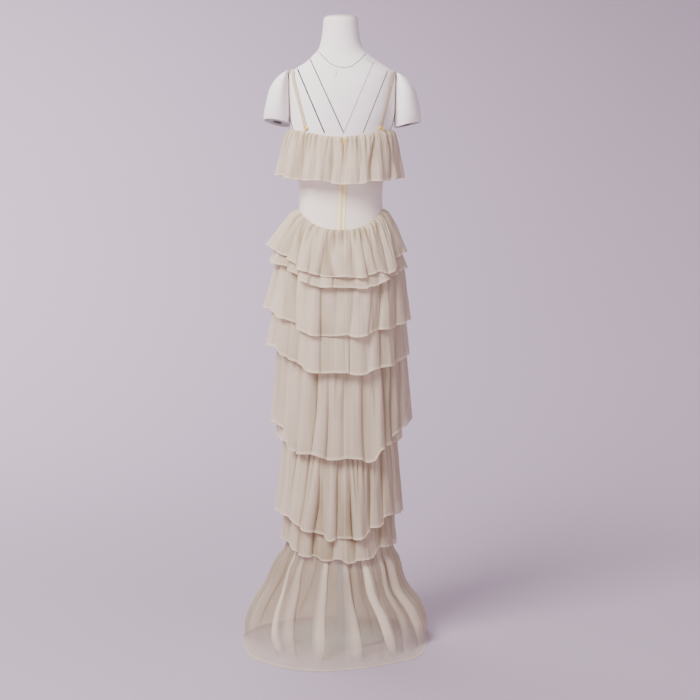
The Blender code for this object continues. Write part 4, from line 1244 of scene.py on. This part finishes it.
def add_band(name, path, width, clearance, thickness, finish, stands_for=()):
    """A flat band with rounded edges along a path on the form."""
    rings = []
    for i, point in enumerate(path):
        along = (path[min(i + 1, len(path) - 1)] - path[max(i - 1, 0)]).normalized()
        normal = form_normal(point)
        across = along.cross(normal).normalized()
        rings.append([point + across * width * a + normal * (clearance + thickness * b) for a, b in BAND])
    return add_tube(name, np.array(rings), finish, stands_for)


def strap_x(side, z):
    climbed = (z - STRAP_FOOT) / (STRAP_TOP - STRAP_FOOT)
    return STRAP_SHIFT + side * (STRAP_LOW + (STRAP_HIGH - STRAP_LOW) * climbed)


def strap_path(side, climb_steps=30, top_steps=36):
    """Points on the form along a strap, from the back of the flounce over to its front."""
    climb = [STRAP_FOOT + i * (STRAP_STEEP - STRAP_FOOT) / climb_steps for i in range(climb_steps + 1)]
    back, front = ([on_form(strap_x(side, z), z, face) for z in climb] for face in (-1, 1))
    over = []
    edge, top = strap_x(side, STRAP_STEEP), strap_x(side, STRAP_TOP)
    for i in range(1, top_steps):
        y = back[-1].y + (front[-1].y - back[-1].y) * i / top_steps
        x = top + (edge - top) * (1 - 2 * i / top_steps) ** 2
        over.append(Vector((x, y, form_height(x, y))))
    return back + over + front[::-1]


class DRESS_OT_stand(bpy.types.Operator):
    """Finishes the pole and the base plate"""

    bl_idname = "dress.stand"
    bl_label = "Stand"

    def execute(self, context):
        steel = metal("stand_steel", form_settings().metal, 0.38)
        enamel = woven("stand_enamel", BASE_AND_SHADE_COLOUR, 700.0, 0.45)
        low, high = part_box("stand_base")
        base = add_turned(
            "stand_base_plate", (low + high) / 2, (high.x - low.x) / 2, high.z - low.z, 0.002, 120
        )
        low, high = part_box("stand_pole")
        pole = add_turned(
            "stand_pole_tube", (low + high) / 2, (high.x - low.x) / 2, high.z - low.z, 0.0008, 48
        )
        for made, finish, node in ((base, enamel, "stand_base"), (pole, steel, "stand_pole")):
            made.data.materials.append(finish)
            ride_on(made, [node])
        return {"FINISHED"}


def deselect_all():
    for thing in bpy.context.selected_objects:
        thing.select_set(False)


def settle(made):
    """Puts a modelled piece's place into its mesh."""
    deselect_all()
    made.select_set(True)
    bpy.context.view_layer.objects.active = made
    bpy.ops.object.transform_apply(location=True, rotation=True, scale=True)


def add_turned(name, centre, radius, height, edge, sides):
    """A turned disc or tube with rounded rims."""
    deselect_all()
    bpy.ops.mesh.primitive_cylinder_add(vertices=sides, radius=radius, depth=height, location=centre)
    made = bpy.context.object
    made.name = name
    bevel = made.modifiers.new("rim", "BEVEL")
    bevel.width, bevel.segments, bevel.limit_method = edge, 3, "ANGLE"
    bpy.ops.object.modifier_apply(modifier=bevel.name)
    bpy.ops.object.shade_smooth_by_angle(angle=math.radians(35))
    settle(made)
    return made


class DRESS_OT_bodice(bpy.types.Operator):
    """Stretches the sheer bodice panels over the form"""

    bl_idname = "dress.bodice"
    bl_label = "Mesh bodice"

    def execute(self, context):
        finish = sheer_mesh("bodice_mesh", MESH_OPACITY)
        drop = np.linspace(0, 1, 70)
        share = np.linspace(0, 1, 90)
        half = TAPE_WIDTH + TAPE_APART / 2 + SEAM_GAP
        top, foot = back_opening()
        z = top + (foot - top) * drop
        for name, start, end in (
            ("front", 90.15, 269.85),
            ("back_right", angle_at(zip_x(z) + half, z), 89.85),
            ("back_left", -89.85, angle_at(zip_x(z) - half, z)),
        ):
            start, end = (np.broadcast_to(side, drop.shape)[:, None] for side in (start, end))
            angle = start + (end - start) * share[None, :]
            upper, lower = edge_height(BUST_TOP, angle) - SEAM_GAP, edge_height(YOKE, angle) + SEAM_GAP
            height = upper + (lower - upper) * drop[:, None]
            grid = section(BODY, angle, height, BODY_EASE + MESH_WALL)
            hem = np.zeros(len(drop))
            hem[:2] = 1
            add_cloth(
                f"bodice_{name}_panel", grid, False, finish, cloth_size(grid, False),
                hem, np.zeros(grid.shape[:2]), [f"bodice_{name}"],
            )
        turns, heights = np.arange(0, 360, 0.6), np.arange(1.05, 1.33, 0.002)
        LAYERS.add(section(BODY, turns[None, :], heights[:, None], BODICE_REACH))
        return {"FINISHED"}


class DRESS_OT_zip(bpy.types.Operator):
    """Sews in the zip: tapes, coil, slider and pull"""

    bl_idname = "dress.zip"
    bl_label = "Back zip"

    def execute(self, context):
        tape = woven("zip_tape_cloth", cloth_settings().tape, 1600.0, 0.75, 0.0003)
        gold = metal("zip_gold", cloth_settings().gold, 0.25, metallic=0.6)
        top, foot = back_opening(SEAM_GAP, SEAM_GAP)
        z = (top + (foot - top) * np.linspace(0, 1, 80))[:, None]
        for name, side in SIDES:
            edges = np.sort(np.linspace(TAPE_APART / 2, TAPE_WIDTH + TAPE_APART / 2, 12) * side)
            angle = angle_at(zip_x(z) + edges[None, :], z)
            grid = section(BODY, angle, np.broadcast_to(z, angle.shape), BODY_EASE + MESH_WALL)
            faces = quads(*angle.shape, False)
            add_piece(f"zip_tape_{name}_cloth", grid, faces, tape, [f"zip_tape_{name}"])
        for node in ("zip_slider", "zip_pull"):
            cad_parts[node].material_slots[0].material = gold
        self.coil()
        return {"FINISHED"}

    def coil(self):
        """The closed zip's coil: a row of small rounded teeth down each side of the middle."""
        resin = woven("zip_coil_resin", COIL_COLOUR, 900.0, 0.4)
        top, foot = back_opening(COIL_BELOW, COIL_ABOVE)
        turns = [math.radians(a) for a in range(0, 360, 360 // TOOTH_SIDES)]
        points, faces = [], []
        for k in range(int((top - foot) / COIL_PITCH)):
            z = foot + (k + 0.5) * COIL_PITCH
            side = 1 if k % 2 else -1
            middle = on_form(zip_x(z) + side * COIL_APART, z)
            middle += form_normal(middle) * COIL_LIFT
            faces += capped(len(TOOTH), TOOTH_SIDES, len(points))
            for reach, size in TOOTH:
                deep, high = TOOTH_DEEP * size, TOOTH_HIGH * size
                points += [
                    (middle.x + reach, middle.y + deep * math.cos(t), middle.z + high * math.sin(t))
                    for t in turns
                ]
        recalc(add_piece("zip_coil", np.array(points), faces, resin))


class DRESS_OT_straps(bpy.types.Operator):
    """Adds the straps with their gold rings and slides"""

    bl_idname = "dress.straps"
    bl_label = "Straps"

    def execute(self, context):
        satin = woven("strap_satin_cloth", cloth_settings().satin, 1200.0, 0.5, 0.0002, 0.1)
        gold = metal("strap_gold", cloth_settings().gold, 0.25, metallic=0.45)
        ease = BODY_EASE + STRAP_EASE
        clear = RING_RADIUS + RING_WIRE + RING_CLEAR
        for name, side in SIDES:
            path = strap_path(side)
            low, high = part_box(f"strap_ring_{name}")
            centre = (low + high) / 2 - AXIS
            ring_at = min(range(len(path)), key=lambda i: (path[i] - centre).length)
            for half, run in (("back", path[:ring_at]), ("front", path[ring_at + 1 :])):
                run = [point for point in run if (point - centre).length > clear]
                add_band(
                    f"strap_{half}_{name}_satin", run, STRAP_WIDTH, ease, STRAP_WALL, satin,
                    [f"strap_{half}_{name}"],
                )
            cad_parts[f"strap_ring_{name}"].material_slots[0].material = gold
            self.slide(name, side, gold)
        return {"FINISHED"}

    def slide(self, name, side, gold):
        """A flat oval slide round the strap, just over the flounce."""
        place, above = (on_form(strap_x(side, z), z) for z in (SLIDE_HEIGHT, SLIDE_HEIGHT + 0.01))
        normal = form_normal(place)
        up = (above - place).normalized()
        across = up.cross(normal).normalized()
        deselect_all()
        bpy.ops.mesh.primitive_torus_add(
            major_segments=40, minor_segments=12, major_radius=SLIDE_RADIUS, minor_radius=SLIDE_WIRE
        )
        made = bpy.context.object
        made.name = f"strap_slide_{name}_gold"
        lifted = AXIS + place + normal * (BODY_EASE + STRAP_EASE + STRAP_WALL + SEAM_GAP)
        turned = Matrix((across, up, across.cross(up))).transposed().to_4x4()
        made.matrix_world = Matrix.Translation(lifted) @ turned @ Matrix.Diagonal(SLIDE_SHAPE)
        settle(made)
        bpy.ops.object.shade_smooth()
        made.data.materials.append(gold)
        ride_on(made, [f"strap_slide_{name}"])


class DRESS_OT_lining(bpy.types.Operator):
    """Hangs the skirt's lining"""

    bl_idname = "dress.lining"
    bl_label = "Skirt lining"

    def execute(self, context):
        draw = np.random.default_rng(11)
        turn = np.arange(0, 360, 1.0)[None, :]
        drops = drops_of(64, LINING_HEM_SHARE)
        drop = drops[:, None]
        top = edge_height(YOKE, turn) - SEAM_GAP
        z = top + (edge_height(LINING_HEM, turn) - top) * drop
        grid = section(lining_rows(), turn + 0 * drop, z, CLOTH)
        out = np.hypot(grid[..., 0], grid[..., 1])
        soft = rippled(draw, turn, drop, (6, 9, 13), 0.0015) * np.clip(drop * 2 - 0.6, 0, 1)
        grid[..., :2] *= ((out + soft) / out)[..., None]
        LAYERS.add(grid)
        cut = cloth_size(grid, True)
        grid, hem = turned_hem(grid, True, LINING_HEM_SHARE, drops)
        finish = chiffon("lining_chiffon", LINING_OPACITY)
        add_cloth(
            "skirt_lining_chiffon", grid, True, finish, cut, hem,
            np.zeros((len(drops), grid.shape[1])), ["skirt_lining"], drops,
        )
        return {"FINISHED"}


class DRESS_OT_tiers(bpy.types.Operator):
    """Gathers the tiers onto the skirt, from the lowest up"""

    bl_idname = "dress.tiers"
    bl_label = "Tiers"

    def execute(self, context):
        sizes = cloth_settings()
        finish = chiffon("tier_chiffon", sizes.tier_opacity)
        support = lining_rows()
        turn = np.linspace(0, 360, 720, endpoint=False)[None, :]
        for number, tier in enumerate(TIERS):
            draw = np.random.default_rng(100 + number)
            drops = drops_of(46, hem_part(tier))
            cloth = tier_grid(tier, support, draw, turn, drops[:, None], sizes.gather_depth)
            hang(tier, cloth, drops, TIER_CLEAR, True, finish)
        return {"FINISHED"}


class DRESS_OT_bust_flounce(bpy.types.Operator):
    """Gathers the bust flounce, open at the zip"""

    bl_idname = "dress.bust_flounce"
    bl_label = "Bust flounce"

    def execute(self, context):
        sizes = cloth_settings()
        tier = BUST_FLOUNCE
        draw = np.random.default_rng(7)
        drops = drops_of(44, hem_part(tier))
        slit = np.interp(drops, *np.array(FLOUNCE_SLIT).T)
        z = edge_height(tier.seam, 0) + (edge_height(tier.hem, 0) - edge_height(tier.seam, 0)) * drops
        width = rows_at(BODY, "z", np.full(drops.shape, FLOUNCE_HEIGHT))["half_width"] + FLOUNCE_OUT
        width = width + (tier.right - width) * drops**tier.flare
        start = np.degrees(np.arcsin(powered((zip_x(z) + slit / 2) / width, 1 / SQUARE)))
        end = 360 + np.degrees(np.arcsin(powered((zip_x(z) - slit / 2) / width, 1 / SQUARE)))
        step = np.linspace(0, 1, 640)
        turn = start[:, None] + (end - start)[:, None] * step[None, :]
        grid, shade, _ = tier_grid(tier, BODY, draw, turn, drops[:, None] + 0 * turn, sizes.gather_depth)
        finish = chiffon("flounce_chiffon", sizes.tier_opacity)
        hang(tier, (grid, shade, None), drops, FLOUNCE_CLEAR, False, finish)
        return {"FINISHED"}


class DRESS_OT_train(bpy.types.Operator):
    """Hangs the sheer train flounce down to the floor"""

    bl_idname = "dress.train"
    bl_label = "Train"

    def execute(self, context):
        sizes = cloth_settings()
        draw = np.random.default_rng(23)
        folds = all_round(FOLDS["train"])
        last = len(TRAIN) - 1
        turn = np.linspace(-90, 270, 721)[None, :]
        level = np.concatenate([np.linspace(0, last, 78), last + np.array(TRAIN_LAST)])
        drop = (level / (last + 1))[:, None]
        row = rows_at(TRAIN, "step", np.minimum(level, last))
        row = {key: value[:, None] for key, value in row.items()}
        angle = turn + hem_turn(folds, turn) * np.minimum(drop * (last + 1) / last, 1)
        trough, pull, double = folded(folds, draw, turn, drop, 2.4, 0.55, 1.7)
        small = gathered(draw, turn, drop, 56, 0.0040, 0.6) + gathered(draw, turn, drop, 120, 0.0014, 0.25)
        strength = np.minimum(1, drop * 3) * np.clip((0.86 - drop) * 5, 0, 1)
        reaches = (row[key] for key in ("left", "right", "back", "front", "square"))
        x, y = oval(angle + pull * strength, *reaches)
        flat = np.stack(np.broadcast_arrays(x, y), -1)
        out = np.hypot(x, y)
        depth = row["fold_depth"] * trough + small - rippled(draw, angle, drop, (8, 13, 21), 0.0020)
        depth -= rippled(draw, angle, drop * 3, (47, 66, 89), 0.0004)
        flat *= ((out - depth) / out)[..., None]
        z = row["z"] - row["dip"] * np.cos(np.radians(angle)) ** 2
        lift = np.abs(rippled(draw, angle, drop, (11, 17, 29), 0.0022)) * np.clip(level - 4, 0, 1)[:, None]
        z = z + lift * np.clip(last + 1 - level, 0, 1)[:, None]
        hem_angle = (turn + hem_turn(folds, turn) + 180) % 360 - 180
        reach = rows_at(TRAIN_HEM, "angle", hem_angle)["reach"]
        hem_x, hem_y = reach * np.sin(np.radians(hem_angle)), -reach * np.cos(np.radians(hem_angle))
        past = np.clip(level - last, 0, 1)[:, None]
        grid = np.stack(np.broadcast_arrays(
            flat[..., 0] * (1 - past) + hem_x * past, flat[..., 1] * (1 - past) + hem_y * past,
            z * (1 - past) + TRAIN_HEM_HEIGHT * past,
        ), -1).copy()
        grid[..., 2] = np.maximum(grid[..., 2], TRAIN_LOWEST)
        LAYERS.add(grid[level < 3])
        # Painted shade: the train is darker all over, more in its troughs and creases and less on its doubled
        # bands, fading lower down, for the shadow inside the skirt.
        shade = np.clip(trough * 0.8 + small * 90 + 0.72, 0, 1) * np.clip(1.3 - drop, 0, 1)
        shade = shade * (1 - 0.85 * double)
        double = double * np.clip((0.8 - drop) * 5, 0, 1) * np.clip(drop * 8, 0, 1)
        finishes = {
            "back": chiffon("train_chiffon", sizes.train_opacity, 0.8),
            "front": chiffon("train_front_chiffon", sizes.front_opacity, 0.8),
        }
        hem = np.zeros(len(level))
        hem[-3:] = 0.45
        hem[0] = 1
        # Painted shade: the front panel is darker, as if in shadow inside the skirt.
        front_shade = np.clip(-np.cos(np.radians(turn)) * 2, 0, 1)
        shade = np.clip(shade + 0.16 * front_shade, 0, 1)
        self.label(grid, level)
        for name, part in (("back", slice(0, 361)), ("front", slice(360, 721))):
            panel = grid[:, part]
            cut = cloth_size(panel, False)
            add_cloth(
                f"train_{name}_chiffon", panel, False, finishes[name], cut,
                hem, shade[:, part], [f"train_{name}"], seam=double[:, part] * 0.9,
            )
        return {"FINISHED"}

    def label(self, grid, level):
        """A small blank label, sewn to the inside of the front panel."""
        across, up = np.linspace(-0.5, 0.5, 9), np.linspace(0.5, -0.5, 7)
        front = grid[level < 6][:, 480:660].reshape(-1, 3)
        patch = np.zeros((7, 9, 3))
        for i, j in np.ndindex(7, 9):
            x, z = LABEL.x + across[j] * LABEL.width, LABEL.z + up[i] * LABEL.height
            near = np.argsort((front[:, 0] - x) ** 2 + (front[:, 2] - z) ** 2)[:12]
            patch[i, j] = (x, front[near, 1].min() - LABEL_BEHIND, z)
        patch[..., 1] = patch[..., 1].min() + (patch[..., 1] - patch[..., 1].min()) * 0.1
        satin = woven("label_satin", LABEL_COLOUR, 1500.0, 0.5)
        add_piece("blank_label", patch, quads(7, 9, False), satin)


class DRESS_OT_studio(bpy.types.Operator):
    """Sets the floor, the backdrop, the soft lights and the camera"""

    bl_idname = "dress.studio"
    bl_label = "Studio"

    def execute(self, context):
        studio = studio_settings()
        self.sweep(tuple(studio.floor))
        for lamp in LAMPS:
            self.light(lamp, getattr(studio, lamp.setting) * lamp.share)
        world = bpy.data.worlds.new("studio_air")
        context.scene.world = world
        world.use_nodes = True
        air = world.node_tree.nodes["Background"]
        air.inputs[0].default_value = (*AIR_COLOUR, 1)
        air.inputs[1].default_value = AIR_STRENGTH
        camera = bpy.data.objects.new("camera", bpy.data.cameras.new("camera"))
        camera.data.sensor_width = 36
        camera.data.lens = studio.camera_lens
        camera.data.clip_end = 60
        camera.location = (
            AXIS.x + studio.camera_across, AXIS.y - studio.camera_distance, studio.camera_height
        )
        camera.rotation_euler = (math.radians(90) - studio.camera_tilt, 0, 0)
        context.scene.collection.objects.link(camera)
        context.scene.camera = camera
        return {"FINISHED"}

    def sweep(self, colour):
        """One sheet of paper: the floor, bent up all round into the backdrop."""
        made = Finish("backdrop_paper")
        haze = made.noise(made.pattern((1, 1, 1)), scale=0.8, detail=2.0)
        paper = made.finish(made.node(
            "ShaderNodeBsdfPrincipled", None,
            Base_Color=made.blend(haze * 0.5, colour, tinted(colour, 0.95)),
            Roughness=0.9, Specular_IOR_Level=0.1,
        ))
        flat, bend = FLOOR_RINGS[-1], BACKDROP_BEND
        profile = [(r, 0.0) for r in FLOOR_RINGS]
        profile += [
            (flat + bend * math.sin(a), bend - bend * math.cos(a)) for a in map(math.radians, range(3, 91, 3))
        ]
        profile += [(flat + bend, z) for z in BACKDROP_UPRIGHT]
        turns = np.linspace(0, 2 * np.pi, 96, endpoint=False)
        grid = np.array([[(r * math.sin(t), -r * math.cos(t), z) for t in turns] for r, z in profile])
        mesh = bpy.data.meshes.new("studio_backdrop")
        faces = quads(len(grid), len(turns), True).tolist() + [list(range(len(turns)))]
        mesh.from_pydata(grid.reshape(-1, 3).tolist(), [], faces)
        mesh.shade_smooth()
        mesh.materials.append(paper)
        backdrop = bpy.data.objects.new("studio_backdrop", mesh)
        bpy.context.scene.collection.objects.link(backdrop)
        turn_faces(backdrop, floor_up=True)

    def light(self, lamp, power):
        """A soft square light, turned to what it is aimed at."""
        area = bpy.data.lights.new(lamp.name, "AREA")
        area.energy = power
        area.size = lamp.size
        area.color = lamp.colour
        made = bpy.data.objects.new(lamp.name, area)
        made.location = lamp.place
        made.visible_camera = False
        aim = Vector(lamp.aim) - Vector(lamp.place)
        made.rotation_euler = aim.to_track_quat("-Z", "Y").to_euler()
        bpy.context.scene.collection.objects.link(made)


class DRESS_PT_panel(bpy.types.Panel):
    """Lists the dress's steps, sizes and colours"""

    bl_idname = "DRESS_PT_panel"
    bl_label = "Tiered maxi dress"
    bl_space_type = "VIEW_3D"
    bl_region_type = "UI"
    bl_category = "Dress"

    def draw(self, context):
        for group in (cloth_settings(), form_settings(), studio_settings()):
            box = self.layout.box()
            for name in group.__annotations__:
                box.prop(group, name)
        for step in STEPS:
            self.layout.operator(step.bl_idname)


STEPS = (
    DRESS_OT_form, DRESS_OT_stand, DRESS_OT_bodice, DRESS_OT_zip, DRESS_OT_straps, DRESS_OT_lining,
    DRESS_OT_train, DRESS_OT_tiers, DRESS_OT_bust_flounce, DRESS_OT_studio,
)
GROUPS = {"dress_cloth": DressCloth, "dress_form": DressForm, "dress_studio": DressStudio}


def register():
    for made in (*GROUPS.values(), *STEPS, DRESS_PT_panel):
        bpy.utils.register_class(made)
    for name, group in GROUPS.items():
        setattr(bpy.types.Scene, name, bpy.props.PointerProperty(type=group))


def unregister():
    for name in GROUPS:
        delattr(bpy.types.Scene, name)
    for made in (DRESS_PT_panel, *reversed(STEPS), *GROUPS.values()):
        bpy.utils.unregister_class(made)


def main():
    register()
    for step in STEPS:
        group, name = step.bl_idname.split(".")
        getattr(getattr(bpy.ops, group), name)()


if __name__ == "__main__":
    main()
